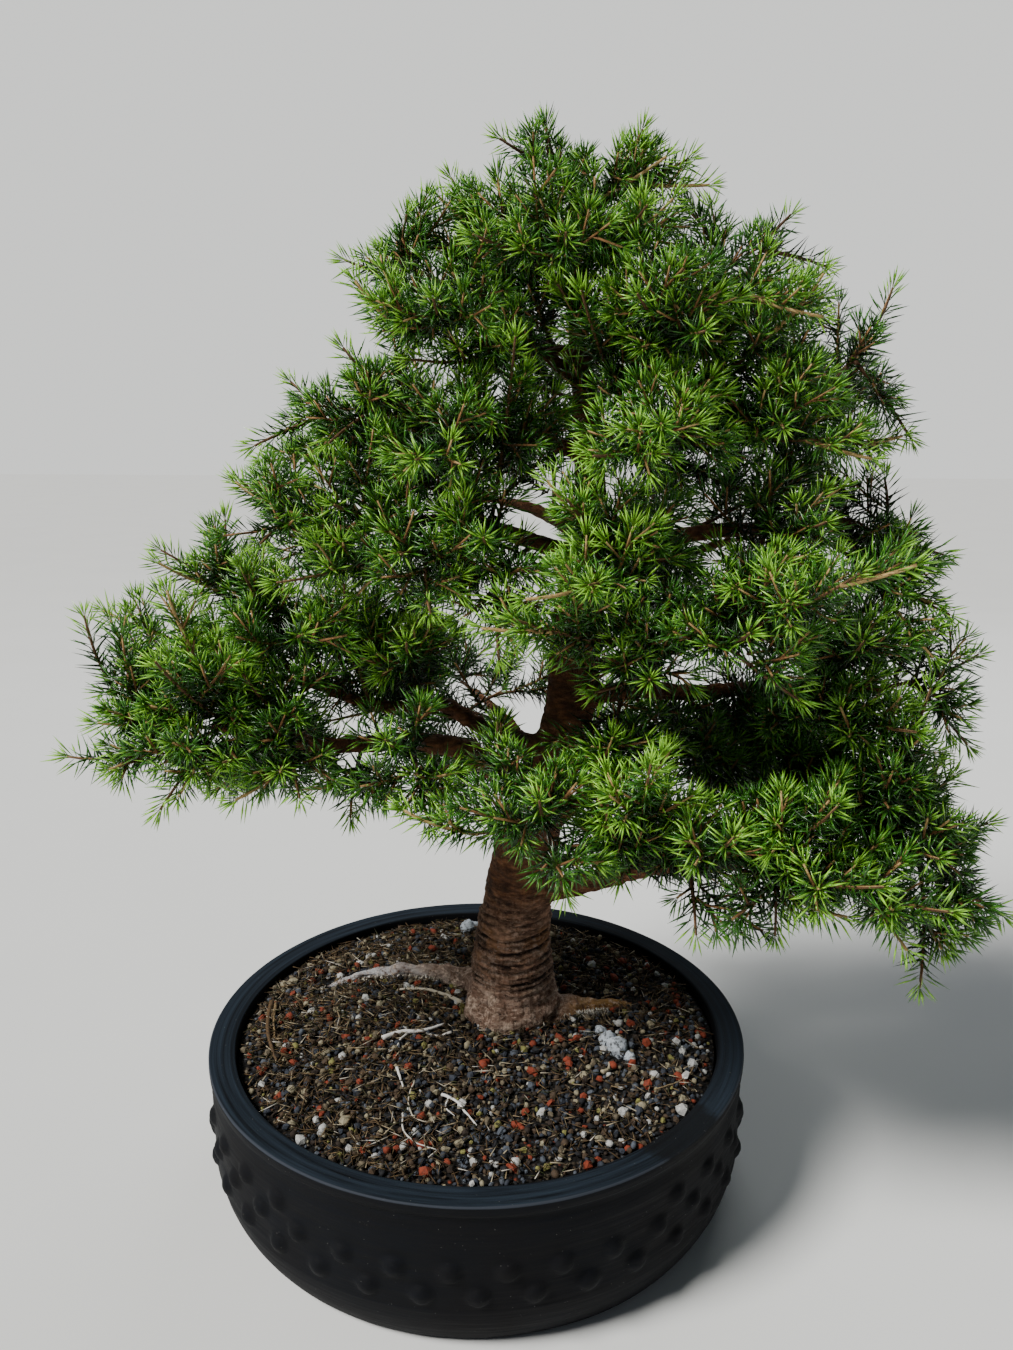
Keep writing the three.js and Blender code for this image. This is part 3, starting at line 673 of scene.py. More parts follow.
@dataclass(frozen=True)
class BarkFinish:
    """Red-brown flaking bark, dusty grey at the foot and on the roots that show, with painted highlights on
    the ring ridges and in specks on the lower trunk, and painted shade in the ring furrows.
    """

    furrow: Colour = (0.012, 0.006, 0.004)
    brown: Colour = (0.115, 0.056, 0.032)
    red: Colour = (0.300, 0.125, 0.055)
    flake: Colour = (0.380, 0.210, 0.120)
    dusty: Colour = (0.290, 0.185, 0.130)
    # pale is the dusty foot's palest tone and also the colour of the painted highlight specks at the foot
    pale: Colour = (0.800, 0.620, 0.490)
    orange: Colour = (0.400, 0.190, 0.085)
    # the orange tone of the painted highlights on the ring ridges and on specks of the lower trunk
    painted_highlight: Colour = (0.560, 0.310, 0.190)
    root_grey: Colour = (0.340, 0.270, 0.225)
    root_white: Colour = (0.520, 0.510, 0.520)
    root_tan: Colour = (0.340, 0.185, 0.065)
    pink: Colour = (0.320, 0.185, 0.130)
    root_low: float = 0.088
    root_top: float = 0.096
    ring_low: float = 0.104
    dusty_top: float = 0.119
    ring_top: float = 0.162
    red_low: float = 0.160

    def worn_foot(self, board: NodeBoard, flakes: object, fine: object, hairs: object) -> object:
        """Gives the dusty, hairy and pitted colour of the trunk's foot.

        Args:
            board: The material's nodes.
            flakes: The pattern of the flakes.
            fine: The finest grain.
            hairs: The upright fibres.

        Returns:
            The colour's output.
        """
        mixed = board.plus(board.times(flakes, 0.6), board.times(fine, 0.4))
        worn = board.ramp(mixed, [(0.39, self.brown), (0.48, self.dusty), (0.58, self.pale)])
        rosy = board.limits(board.grain(55.0, 3.0), 0.40, 0.62)
        worn = board.blend(board.times(rosy, 0.7), worn, self.pink)
        worn = board.blend(board.times(hairs, 0.72), worn, self.brown)
        pits = board.limits(board.grain(330.0, 3.0, 0.6), 0.40, 0.32)
        return board.blend(board.times(pits, 0.80), worn, self.furrow)

    def hairs(self, board: NodeBoard) -> object:
        """Gives the fine upright fibres of the worn foot.

        Args:
            board: The material's nodes.

        Returns:
            The fibres, 0 to 1.
        """
        x, y, z = board.axes()
        upright = board.combine(board.times(x, 5.0), board.times(y, 5.0), board.times(z, 0.9))
        return board.limits(board.grain(95.0, 4.0, 0.65, place=upright), 0.53, 0.36)

    def on_roots(self, board: NodeBoard, colour: object) -> object:
        """Lays grey, bleached at its end, on the left root and tan on the right one.

        Args:
            board: The material's nodes.
            colour: The bark's colour.

        Returns:
            The colour with its roots.
        """
        x, _, z = board.axes()
        on_root = board.limits(z, self.root_top, self.root_low)
        mottled = board.limits(board.grain(240.0, 4.0, 0.7), 0.34, 0.50)
        bleached = board.limits(x, -0.030, -0.060)
        grey = board.blend(mottled, self.brown, board.blend(bleached, self.root_grey, self.root_white))
        tan = board.blend(mottled, self.brown, self.root_tan)
        left = board.times(on_root, board.limits(x, -0.004, -0.022))
        right = board.times(on_root, board.limits(x, 0.050, 0.062))
        return board.blend(right, board.blend(left, colour, grey), tan)

    def on_rings(self, board: NodeBoard, colour: object) -> object:
        """Paints highlights on the ridges of the trunk's rings and painted shade in the furrows between them.

        Args:
            board: The material's nodes.
            colour: The bark's colour.

        Returns:
            The colour with its rings.
        """
        z = board.axes()[2]
        height = board.attribute("height")
        ridge = board.times(board.limits(height, -0.30, -0.05), board.limits(z, self.ring_top, 0.150))
        ridge = board.times(ridge, board.limits(z, self.ring_low, 0.112))
        # painted highlights on the ring ridges
        lit = board.times(ridge, board.limits(board.grain(90.0, 4.0, 0.6), 0.42, 0.60))
        colour = board.blend(board.times(lit, 0.80), colour, self.painted_highlight)
        # painted shade in the furrows, darkest where they are deepest
        return board.blend(board.times(board.limits(height, -0.25, -0.80), 0.92), colour, self.furrow)

    def material(self) -> bpy.types.Material:
        """Makes the material.

        Returns:
            The finished material.
        """
        board = NodeBoard("spruce_bark")
        x, y, z = board.axes()
        flat = board.combine(x, y, board.times(z, 2.8))
        streaky = board.combine(board.times(x, 0.35), board.times(y, 0.35), board.times(z, 3.2))
        flakes = board.grain(85.0, 7.0, 0.62, place=flat)
        streaks = board.grain(120.0, 5.0, 0.65, place=streaky)
        scales = board.cells(165.0, place=flat)
        fine = board.grain(620.0, 5.0, 0.72)
        stops = [(0.34, self.furrow), (0.47, self.brown), (0.60, self.red), (0.74, self.flake)]
        colour = board.blend(board.limits(streaks, 0.58, 0.72), board.ramp(flakes, stops), self.flake)
        colour = board.blend(board.times(board.limits(z, self.red_low, 0.200), 0.35), colour, self.red)
        foot = board.limits(z, self.dusty_top, 0.107)
        foot = board.plus(foot, board.times(board.limits(z, 0.170, 0.140), 0.85))
        hairs = self.hairs(board)
        worn = self.worn_foot(board, flakes, fine, hairs)
        colour = board.blend(board.limits(foot, 0.0, 1.15), colour, worn)
        torn = board.times(board.limits(board.grain(62.0, 3.0), 0.57, 0.64), board.limits(z, 0.152, 0.144))
        torn = board.times(torn, board.limits(z, 0.116, 0.122))
        colour = board.blend(board.times(torn, 0.80), colour, self.orange)
        colour = self.on_rings(board, self.on_roots(board, colour))
        scaly = board.times(board.limits(scales, 0.35, 0.75), board.limits(z, 0.105, 0.150))
        colour = board.blend(board.times(scaly, 0.40), colour, self.furrow)
        crust = board.grain(230.0, 6.0, 0.75, place=flat)
        crusty = board.times(board.limits(crust, 0.50, 0.36), board.limits(z, 0.100, 0.116))
        colour = board.blend(board.times(crusty, 0.42), colour, self.furrow)
        # painted highlight specks on the lower trunk: pale at the foot, orange above
        highlight_specks = board.times(board.limits(crust, 0.53, 0.64), board.limits(z, 0.175, 0.155))
        speck_highlight = board.blend(board.limits(z, 0.100, 0.114), self.pale, self.painted_highlight)
        colour = board.blend(board.times(highlight_specks, 0.75), colour, speck_highlight)
        relief = board.bump(flakes, 0.0022, 0.9)
        relief = board.bump(crust, 0.0016, 0.9, under=relief)
        relief = board.bump(scales, 0.0010, 0.5, under=relief)
        relief = board.bump(hairs, 0.0006, 0.8, under=relief)
        relief = board.bump(fine, 0.0008, 0.9, under=relief)
        return board.finish(colour, board.limits(flakes, -1.6, 0.75), relief, 0.25)


@dataclass(frozen=True)
class NeedleFinish:
    """Green needles: fresh ones yellow-green, old ones dark and darkened further as painted shade for the
    crown's inside, and darker on the tree's right as painted shade.
    """

    fresh: Colour = (0.330, 0.680, 0.060)
    young: Colour = (0.047, 0.192, 0.0135)
    # old needles are darker; grown and old are darkened further as painted shade for the inside of the crown
    grown: Colour = (0.0088, 0.046, 0.0048)
    old: Colour = (0.0022, 0.0095, 0.0016)
    point: Colour = (0.240, 0.380, 0.080)
    shade: float = 0.08
    mixture: float = 0.28

    def material(self) -> bpy.types.Material:
        """Makes the material.

        Returns:
            The finished material.
        """
        board = NodeBoard("spruce_needles")
        age = board.attribute("age")
        tone = board.attribute("tone")
        along = board.attribute("along")
        drift = board.plus(age, board.times(board.plus(tone, -0.5), self.mixture))
        # painted shade: the needles grow darker towards the tree's right
        drift = board.plus(drift, board.times(board.limits(board.axes()[0], 0.06, 0.26), self.shade))
        stops = [(0.0, self.fresh), (0.24, self.young), (0.58, self.grown), (1.0, self.old)]
        colour = board.ramp(drift, stops)
        tip = board.times(board.limits(along, 0.85, 1.0), 0.14)
        colour = board.blend(tip, colour, self.point)
        root = board.times(board.limits(along, 0.20, 0.0), 0.25)
        colour = board.blend(root, colour, self.fresh)
        fibre = board.grain(1500.0, 2.0)
        return board.finish(colour, board.limits(fibre, -0.05, 1.90), board.bump(fibre, 0.00006, 0.4), 0.55)


@dataclass(frozen=True)
class TwigFinish:
    """Thin ridged twigs: yellow-orange where they are new, brown where they are old."""

    new: Colour = (0.540, 0.390, 0.160)
    orange: Colour = (0.300, 0.150, 0.055)
    brown: Colour = (0.085, 0.042, 0.022)

    def material(self) -> bpy.types.Material:
        """Makes the material.

        Returns:
            The finished material.
        """
        board = NodeBoard("spruce_twigs")
        age = board.attribute("age")
        ridges = board.grain(850.0, 3.0, 0.65)
        shade = board.plus(age, board.times(board.plus(ridges, -0.5), 0.7))
        colour = board.ramp(shade, [(0.0, self.new), (0.35, self.orange), (0.9, self.brown)])
        return board.finish(colour, 0.72, board.bump(ridges, 0.0003, 0.8), 0.3)


@dataclass(frozen=True)
class GritFinish:
    """Loose grains, each of one mineral: white, grey, blue-grey, black, buff or brick red."""

    stain: Colour = (0.012, 0.010, 0.008)
    stops: tuple[tuple[float, Colour], ...] = (
        (0.00, (0.010, 0.011, 0.014)), (0.17, (0.036, 0.044, 0.062)), (0.35, (0.090, 0.105, 0.132)),
        (0.45, (0.075, 0.048, 0.028)), (0.58, (0.155, 0.125, 0.080)), (0.68, (0.028, 0.018, 0.012)),
        (0.82, (0.330, 0.290, 0.190)), (0.89, (0.560, 0.560, 0.540)), (0.92, (0.260, 0.044, 0.018)),
        (0.970, (0.250, 0.240, 0.070)),
    )

    def material(self) -> bpy.types.Material:
        """Makes the material.

        Returns:
            The finished material.
        """
        board = NodeBoard("mixed_grit")
        mineral = board.ramp(board.attribute("tone"), self.stops, is_stepped=True)
        mottle = board.grain(650.0, 4.0, 0.65)
        colour = board.blend(board.limits(mottle, 0.30, 0.62), self.stain, mineral)
        colour = board.blend(0.55, mineral, colour)
        return board.finish(colour, board.limits(mottle, -0.9, 0.85), board.bump(mottle, 0.0005, 0.8), 0.35)


@dataclass(frozen=True)
class EarthFinish:
    """Dark damp crumb between the grains, of small grains of the same minerals, darker in the gaps between
    crumbs as damp soil and painted shade.
    """

    damp: Colour = (0.005, 0.004, 0.0035)
    stops: tuple[tuple[float, Colour], ...] = (
        (0.00, (0.012, 0.010, 0.009)), (0.30, (0.045, 0.032, 0.022)), (0.50, (0.045, 0.052, 0.066)),
        (0.64, (0.120, 0.090, 0.058)), (0.78, (0.130, 0.140, 0.160)), (0.88, (0.200, 0.170, 0.120)),
        (0.95, (0.230, 0.050, 0.024)),
    )

    def material(self) -> bpy.types.Material:
        """Makes the material.

        Returns:
            The finished material.
        """
        board = NodeBoard("dark_crumb")
        mineral = board.ramp(board.cell_tone(400.0), self.stops, is_stepped=True)
        away = board.cells(400.0)
        crumb = board.grain(420.0, 6.0, 0.7)
        # darker in the gaps between the crumbs: damp soil and painted shade
        colour = board.blend(board.limits(away, 0.28, 0.55), mineral, self.damp)
        colour = board.blend(board.limits(crumb, 0.60, 0.38), colour, self.damp)
        relief = board.bump(board.limits(away, 0.75, 0.05), 0.0016, 0.9)
        relief = board.bump(crumb, 0.0010, 0.8, under=relief)
        return board.finish(colour, board.limits(crumb, -1.8, 0.7), relief, 0.25)


@dataclass(frozen=True)
class LitterFinish:
    """Fallen needles, scraps of root and stones: green, brown, tan, bleached and bluish grey."""

    stain: Colour = (0.050, 0.032, 0.020)
    pit: Colour = (0.090, 0.095, 0.100)
    stops: tuple[tuple[float, Colour], ...] = (
        (0.00, (0.026, 0.046, 0.010)), (0.18, (0.062, 0.040, 0.014)), (0.50, (0.120, 0.070, 0.028)),
        (0.72, (0.260, 0.180, 0.085)), (0.88, (0.440, 0.380, 0.260)), (0.97, (0.720, 0.700, 0.670)),
        (1.00, (0.480, 0.530, 0.590)),
    )

    def material(self) -> bpy.types.Material:
        """Makes the material.

        Returns:
            The finished material.
        """
        board = NodeBoard("dry_litter")
        fibre = board.grain(900.0, 3.0, 0.6)
        tone = board.attribute("tone")
        stained = board.times(board.limits(fibre, 0.62, 0.35), board.limits(tone, 0.98, 0.60))
        colour = board.blend(stained, board.ramp(tone, self.stops), self.stain)
        pitted = board.limits(board.grain(420.0, 4.0, 0.7), 0.50, 0.36)
        on_stone = board.limits(tone, 0.985, 1.0)
        colour = board.blend(board.times(pitted, on_stone), colour, self.pit)
        return board.finish(colour, 0.8, board.bump(fibre, 0.0002, 0.7), 0.3)


@dataclass(frozen=True)
class MeshPlasticFinish:
    """Black moulded plastic of the screens over the drain holes."""

    black: Colour = (0.012, 0.012, 0.012)
    scuffed: Colour = (0.040, 0.036, 0.032)

    def material(self) -> bpy.types.Material:
        """Makes the material.

        Returns:
            The finished material.
        """
        board = NodeBoard("black_plastic_mesh")
        scuff = board.grain(300.0, 4.0, 0.6)
        colour = board.blend(board.limits(scuff, 0.45, 0.75), self.black, self.scuffed)
        return board.finish(colour, board.limits(scuff, -0.4, 1.4), board.bump(scuff, 0.0002, 0.4), 0.5)


@dataclass
class DrumPot:
    """The round pot: an upright wall with a lip, three rows of studs and two drain holes."""

    height: float = 0.088
    rim_outer: float = 0.1604
    rim_inner: float = 0.145
    wall: float = 0.1593
    base: float = 0.149
    floor: float = 0.010
    floor_radius: float = 0.138
    columns: int = 450
    stud_rows: int = 34
    stud_radius: float = 0.0060
    stud_height: float = 0.0028
    stud_levels: Point = (0.0365, 0.050, 0.062)
    first_angle: float = -93.4
    pitch: float = 10.0
    band: tuple[float, float] = (0.0275, 0.0425)
    drain_radius: float = 0.011
    drain_offset: float = 0.062
    studs: list[tuple[float, float]] = field(default_factory=list)

    def __post_init__(self) -> None:
        """Lists the studs as an angle in radians and a height, the top row on two short arcs."""
        low, middle, top = self.stud_levels
        for step in range(36):
            self.studs.append((math.radians(self.first_angle + step * self.pitch), middle))
            self.studs.append((math.radians(self.first_angle + (step + 0.5) * self.pitch), low))
        for step in range(4):
            self.studs.append((math.radians(self.first_angle - (3.5 + step) * self.pitch), top))
            self.studs.append((math.radians(self.first_angle + (4.5 + step) * self.pitch), top))

    def profile(self) -> list[tuple[float, float]]:
        """Gives the section, from the middle of the underside round the wall to the middle of the floor.

        Returns:
            The reach and the height of its points.
        """
        outside = [(0.0, 0.0), (0.05, 0.0), (0.10, 0.0), (0.1450, 0.0), (0.1475, 0.0006),
                   (self.base, 0.0022), (0.1508, 0.0048), (0.1530, 0.0085), (0.1554, 0.0135),
                   (0.1573, 0.0190), (0.1586, 0.0240)]
        low, tall = self.band
        band = [(self.wall, low + tall * row / self.stud_rows) for row in range(self.stud_rows + 1)]
        lip = [(0.1590, 0.0735), (0.1586, 0.0770), (0.1584, 0.0792), (0.1586, 0.0806), (0.1595, 0.0816),
               (0.1602, 0.0828), (self.rim_outer, 0.0850), (self.rim_outer, 0.0869), (0.16035, 0.0875),
               (0.1600, 0.0879), (0.1596, self.height)]
        inside = [(0.1590, self.height), (0.1550, 0.0879), (0.1500, 0.0878), (0.1466, 0.0878),
                  (0.1455, 0.0874), (self.rim_inner, 0.0862), (self.rim_inner, 0.0800),
                  (self.rim_inner, 0.0500), (0.1420, 0.0250), (self.floor_radius, self.floor),
                  (0.06, self.floor), (0.0, self.floor)]
        return outside + band + lip + inside

    def stud_lift(self, angle: float, height: float) -> float:
        """Gives how far the studs push the wall out at a point.

        Args:
            angle: The point's angle round the pot.
            height: The point's height.

        Returns:
            The lift in metres.
        """
        lift = 0.0
        for stud_angle, stud_height in self.studs:
            turn = (angle - stud_angle + math.pi) % (2 * math.pi) - math.pi
            away = math.hypot(turn * self.wall, height - stud_height) / self.stud_radius
            if away < 1.25:
                dome = max(0.0, 1.0 - away * away) ** 0.75
                lift = max(lift, self.stud_height * dome + 0.00025 * (1.0 - away / 1.25))
        return lift

    def build(self, clay: bpy.types.Material) -> None:
        """Spins the section, raises the studs and cuts the drain holes.

        Args:
            clay: The pot's material.
        """
        bm = spin_section(self.profile(), self.columns)
        for vert in bm.verts:
            reach = math.hypot(vert.co.x, vert.co.y)
            if reach < 0.1445 or vert.co.z < 0.0005:
                continue
            angle = math.atan2(vert.co.y, vert.co.x)
            around = Vector((2.2 * math.cos(angle), 2.2 * math.sin(angle), vert.co.z * 25))
            wobble = 0.00035 * noise.noise(around)
            wobble += 0.00016 * noise.noise(Vector((vert.co.x, vert.co.y, vert.co.z * 3.0)) * 60)
            lift = self.stud_lift(angle, vert.co.z) if 0.027 < vert.co.z < 0.0705 else 0.0
            vert.co.xy *= (reach + wobble + lift) / reach
        pot = to_object("pot_body", bm, [clay])
        for side in (-1, 1):
            drill = bmesh.new()
            bmesh.ops.create_cone(drill, cap_ends=True, segments=48, radius1=self.drain_radius,
                                  radius2=self.drain_radius, depth=0.04,
                                  matrix=Matrix.Translation((side * self.drain_offset, 0, 0.005)))
            tool = to_object("drain_drill", drill, [])
            cut = pot.modifiers.new("drain", "BOOLEAN")
            cut.operation, cut.solver, cut.object = "DIFFERENCE", "EXACT", tool
            apply_modifiers(pot)
            bpy.data.objects.remove(tool)
        keep(pot, "pot", "pot")


# Wood routes in millimetres, as the solids have them
TRUNK_KNOTS: tuple[Point, ...] = (
    (20, 22, 46), (20, 22, 66), (20, 22, 84), (21, 22, 100), (21, 22, 118), (22, 22, 140), (26, 23, 170),
    (32, 24, 206), (41, 25, 235), (50, 25, 260), (55, 25, 285), (57, 24, 316), (59, 22, 346), (63, 20, 386),
    (63, 19, 415), (60, 18, 447), (56, 18, 484), (52, 18, 520), (50, 18, 566),
)
TRUNK_RADII: tuple[float, ...] = (
    20, 29, 27, 22.5, 21, 20, 17, 15.5, 15, 15, 15.5, 12, 10, 8.5, 7.2, 6.4, 5.4, 4.2, 2.2,
)


@dataclass(frozen=True)
class Limb:
    """A bare limb or root: its knots and its radii, in millimetres."""

    knots: tuple[Point, ...]
    radii: tuple[float, ...]

    def route(self) -> Route:
        """Gives the limb's middle line."""
        return Route.through([vec_mm(knot) for knot in self.knots])

    def radius(self, share: float) -> float:
        """Gives the radius at a share of the length, in metres.

        Args:
            share: Where on the limb, 0 to 1.

        Returns:
            The radius there.
        """
        position = share * (len(self.radii) - 1)
        index = min(int(position), len(self.radii) - 2)
        return MM * (self.radii[index] + (self.radii[index + 1] - self.radii[index]) * (position - index))


TRUNK = Limb(TRUNK_KNOTS, TRUNK_RADII)

ROOTS: tuple[Limb, ...] = (
    Limb(((16, 24, 87), (-10, 50, 86), (-54, 61, 85), (-84, 56, 83.5), (-110, 44, 74)),
         (11.5, 7.5, 6.2, 4.8, 2.5)),
    Limb(((24, 22, 86), (51, 16, 85), (80, 23, 83), (108, 33, 74)), (12.5, 8, 5.5, 2.5)),
    Limb(((20, 20, 76), (4, -12, 72), (-20, -50, 58), (-36, -84, 40)), (12, 8, 5, 2.5)),
    Limb(((22, 20, 76), (42, -10, 70), (70, -44, 56), (92, -70, 40)), (12, 8, 5, 2.5)),
    Limb(((22, 24, 78), (34, 56, 74), (50, 90, 60), (60, 112, 42)), (12, 8, 5, 2.5)),
)

LIMBS: dict[str, Limb] = {
    "leftLow": Limb(((30, 24, 222), (-5, 8, 258), (-38, -5, 268), (-77, -12, 268), (-115, -20, 274),
                     (-146, -25, 284)), (8.5, 3.2)),
    "leftBack": Limb(((44, 25, 253), (1, 35, 266), (-24, 35, 280), (-53, 28, 279), (-87, 15, 293),
                      (-113, 5, 313)), (6.5, 2.8)),
    "rightLow": Limb(((28, 23, 160), (67, 0, 180), (103, -35, 206), (138, -52, 217), (173, -60, 216),
                      (210, -65, 209)), (8, 3)),
    "rightMid": Limb(((55, 25, 287), (95, 15, 294), (128, 6, 295), (166, -2, 301), (198, -10, 302),
                      (225, -20, 304)), (6.5, 2.8)),
    "rightFront": Limb(((57, 24, 305), (87, -15, 320), (106, -50, 333), (122, -70, 344)), (4.6, 2.6)),
    "leftMid": Limb(((60, 22, 369), (42, 12, 377), (7, -5, 390), (-24, -18, 395), (-55, -30, 394),
                     (-80, -35, 389)), (6, 2.6)),
    "rightUpper": Limb(((61, 22, 374), (92, 18, 378), (125, 14, 386), (161, 12, 389), (190, 5, 394),
                        (211, -5, 392)), (6.5, 2.8)),
    "leftUpper": Limb(((62, 19, 427), (34, 5, 437), (-3, -8, 444), (-40, -15, 447), (-68, -20, 444)),
                      (5, 2.4)),
    "rightHigh": Limb(((61, 19, 436), (90, 15, 442), (126, 8, 450), (162, 0, 458), (189, -5, 463)), (5, 2.4)),
    "leftTop": Limb(((58, 18, 466), (34, 5, 483), (2, -5, 503), (-26, -10, 512)), (4.4, 2.4)),
    "rightTop": Limb(((57, 18, 476), (87, 12, 494), (123, 8, 514), (150, 10, 525)), (4.4, 2.4)),
    "frontLow": Limb(((34, 24, 212), (40, -12, 222), (40, -45, 234), (36, -72, 246)), (5.5, 2.6)),
    "backLow": Limb(((36, 24, 224), (30, 66, 240), (12, 106, 254), (-8, 132, 264)), (7, 2.8)),
    "backLowRight": Limb(((32, 24, 198), (78, 52, 222), (126, 76, 238), (168, 88, 250)), (7, 2.8)),
    "backMid": Limb(((57, 24, 326), (72, 66, 340), (92, 106, 350)), (6, 2.8)),
    "backMidRight": Limb(((60, 22, 352), (108, 48, 364), (156, 72, 376)), (5.5, 2.6)),
    "backMidLeft": Limb(((62, 21, 382), (30, 58, 396), (-12, 84, 402)), (5.5, 2.6)),
    "backHigh": Limb(((60, 18, 450), (70, 58, 462), (82, 92, 468)), (4.6, 2.4)),
    "backHighLeft": Limb(((57, 18, 480), (26, 48, 492), (-4, 68, 500)), (4.2, 2.4)),
    "trunk": TRUNK,
}


@dataclass
class TrunkAndLimbs:
    """Roots, trunk and limbs as one skin of bark."""

    voxel: float = 0.0023
    fine_top: float = 0.165
    furrows: tuple[tuple[float, float], ...] = (
        (0.0985, 0.25), (0.1050, 0.40), (0.1100, 0.75), (0.1136, 1.10), (0.1172, 0.55), (0.1212, 0.95),
        (0.1255, 1.15), (0.1290, 0.50), (0.1330, 1.10), (0.1372, 0.60), (0.1412, 0.95), (0.1455, 0.50),
        (0.1500, 0.80), (0.1548, 0.45), (0.1600, 0.60),
    )
    furrow_width: float = 0.0013
    furrow_depth: float = 0.0024
    lump_depth: float = 0.0034
    ring_swelling: float = 0.0013
    flare: float = 0.0022
    flake_depth: float = 0.0011
    axis: tuple[float, float] = (0.021, 0.022)

    def furrow(self, point: Vector) -> float:
        """Gives how deep a point lies in the furrows that run round the trunk's foot, from 0 to about 1.

        Args:
            point: A point on the plain skin.

        Returns:
            The depth's share.
        """
        sway = 0.0042 * noise.noise(Vector((point.x * 30, point.y * 30, 3.0)))
        patchy = noise.noise(Vector((point.x * 45, point.y * 45, point.z * 80)))
        broken = min(1.2, max(0.35, 0.85 + 1.1 * patchy))
        depth = sum(strength * math.exp(-((point.z + sway - height) / self.furrow_width) ** 2)
                    for height, strength in self.furrows)
        near = smooth_step(0.050, 0.036, math.hypot(point.x - self.axis[0], point.y - self.axis[1]))
        return depth * broken * near * smooth_step(0.168, 0.150, point.z)

    def relief(self, point: Vector) -> float:
        """Gives how far the bark stands out or in at a point.

        Args:
            point: A point on the plain skin.

        Returns:
            The height in metres.
        """
        low = smooth_step(0.110, 0.096, point.z)
        rough = noise.fractal(Vector((point.x, point.y, point.z * 2.4)) * 105, 0.8, 2.1, 4)
        lumps = noise.noise(Vector((point.x, point.y, point.z * 0.7)) * 48)
        lumps += 0.5 * noise.noise(Vector((point.x, point.y, point.z * 0.8)) * 120)
        near = smooth_step(0.046, 0.036, math.hypot(point.x - self.axis[0], point.y - self.axis[1]))
        swelling = self.flare * math.exp(-((point.z - 0.089) / 0.011) ** 2) * near
        ringed = smooth_step(0.155, 0.148, point.z) * smooth_step(0.106, 0.114, point.z)
        swelling += self.ring_swelling * ringed * near
        stout = 0.35 + 0.65 * smooth_step(0.45, 0.25, point.z)
        return (self.flake_depth * rough * stout * (1 - 0.2 * low) + self.lump_depth * lumps * low + swelling
                - self.furrow_depth * self.furrow(point))

    def build(self, bark: bpy.types.Material) -> None:
        """Sweeps every limb, joins them under one skin and raises the bark.

        Args:
            bark: The bark's material.
        """
        bm = bmesh.new()
        sweep(bm, TRUNK.route(), TRUNK.radius, 28, 110)
        for limb in (*ROOTS, *(limb for name, limb in LIMBS.items() if name != "trunk")):
            route = limb.route()
            sweep(bm, route, limb.radius, 12, max(8, round(route.length / 0.006)))
        tree = to_object("bark_skin", bm, [bark])
        skin = tree.modifiers.new("one_skin", "REMESH")
        skin.mode, skin.voxel_size, skin.adaptivity = "VOXEL", self.voxel, 0.0
        apply_modifiers(tree)
        bm = bmesh.new()
        bm.from_mesh(tree.data)
        for _ in range(3):
            bmesh.ops.smooth_vert(bm, verts=bm.verts, factor=0.5,
                                  use_axis_x=True, use_axis_y=True, use_axis_z=True)
        bm.normal_update()
        foot = [edge for edge in bm.edges if all(0.078 < vert.co.z < self.fine_top for vert in edge.verts)]
        bmesh.ops.subdivide_edges(bm, edges=foot, cuts=1, use_grid_fill=True)
        bm.normal_update()
        height = bm.verts.layers.float.new("height")
        for vert in bm.verts:
            lift = self.relief(vert.co)
            vert[height] = -self.furrow(vert.co)
            vert.co += vert.normal * lift
        bm.to_mesh(tree.data)
        bm.free()
        tree.data.polygons.foreach_set("use_smooth", [True] * len(tree.data.polygons))
        keep(tree, "wood", "trunk_and_limbs")


class ShootKind(Enum):
    """The ways in which a length of shoot is covered."""

    TIP = "tip"
    SLEEVE = "sleeve"
    COMB = "comb"


@dataclass(frozen=True)
class NeedleShape:
    """One needle: three-sided, pointed, and widest at a share of its length."""

    length: float = 0.0142
    radius: float = 0.00057
    widest: float = 0.55

    def mesh(self) -> bpy.types.Mesh:
        """Makes the needle standing on the origin, with its share of length stored as along.

        Returns:
            The needle, along +Z.
        """
        bm = bmesh.new()
        low, high = self.widest * self.length, (1 - self.widest) * self.length
        if low > 0:
            bmesh.ops.create_cone(bm, cap_ends=False, segments=3, radius1=0.0, radius2=self.radius, depth=low,
                                  matrix=Matrix.Translation((0, 0, low / 2)))
        bmesh.ops.create_cone(bm, cap_ends=not low, segments=3, radius1=self.radius, radius2=0.0, depth=high,
                              matrix=Matrix.Translation((0, 0, low + high / 2)))
        bmesh.ops.remove_doubles(bm, verts=bm.verts, dist=1e-5)
        bmesh.ops.recalc_face_normals(bm, faces=bm.faces)
        along = bm.verts.layers.float.new("along")
        for name in ("tone", "age"):
            bm.verts.layers.float.new(name)
        for vert in bm.verts:
            vert[along] = vert.co.z / self.length
        return to_mesh("needle", bm)


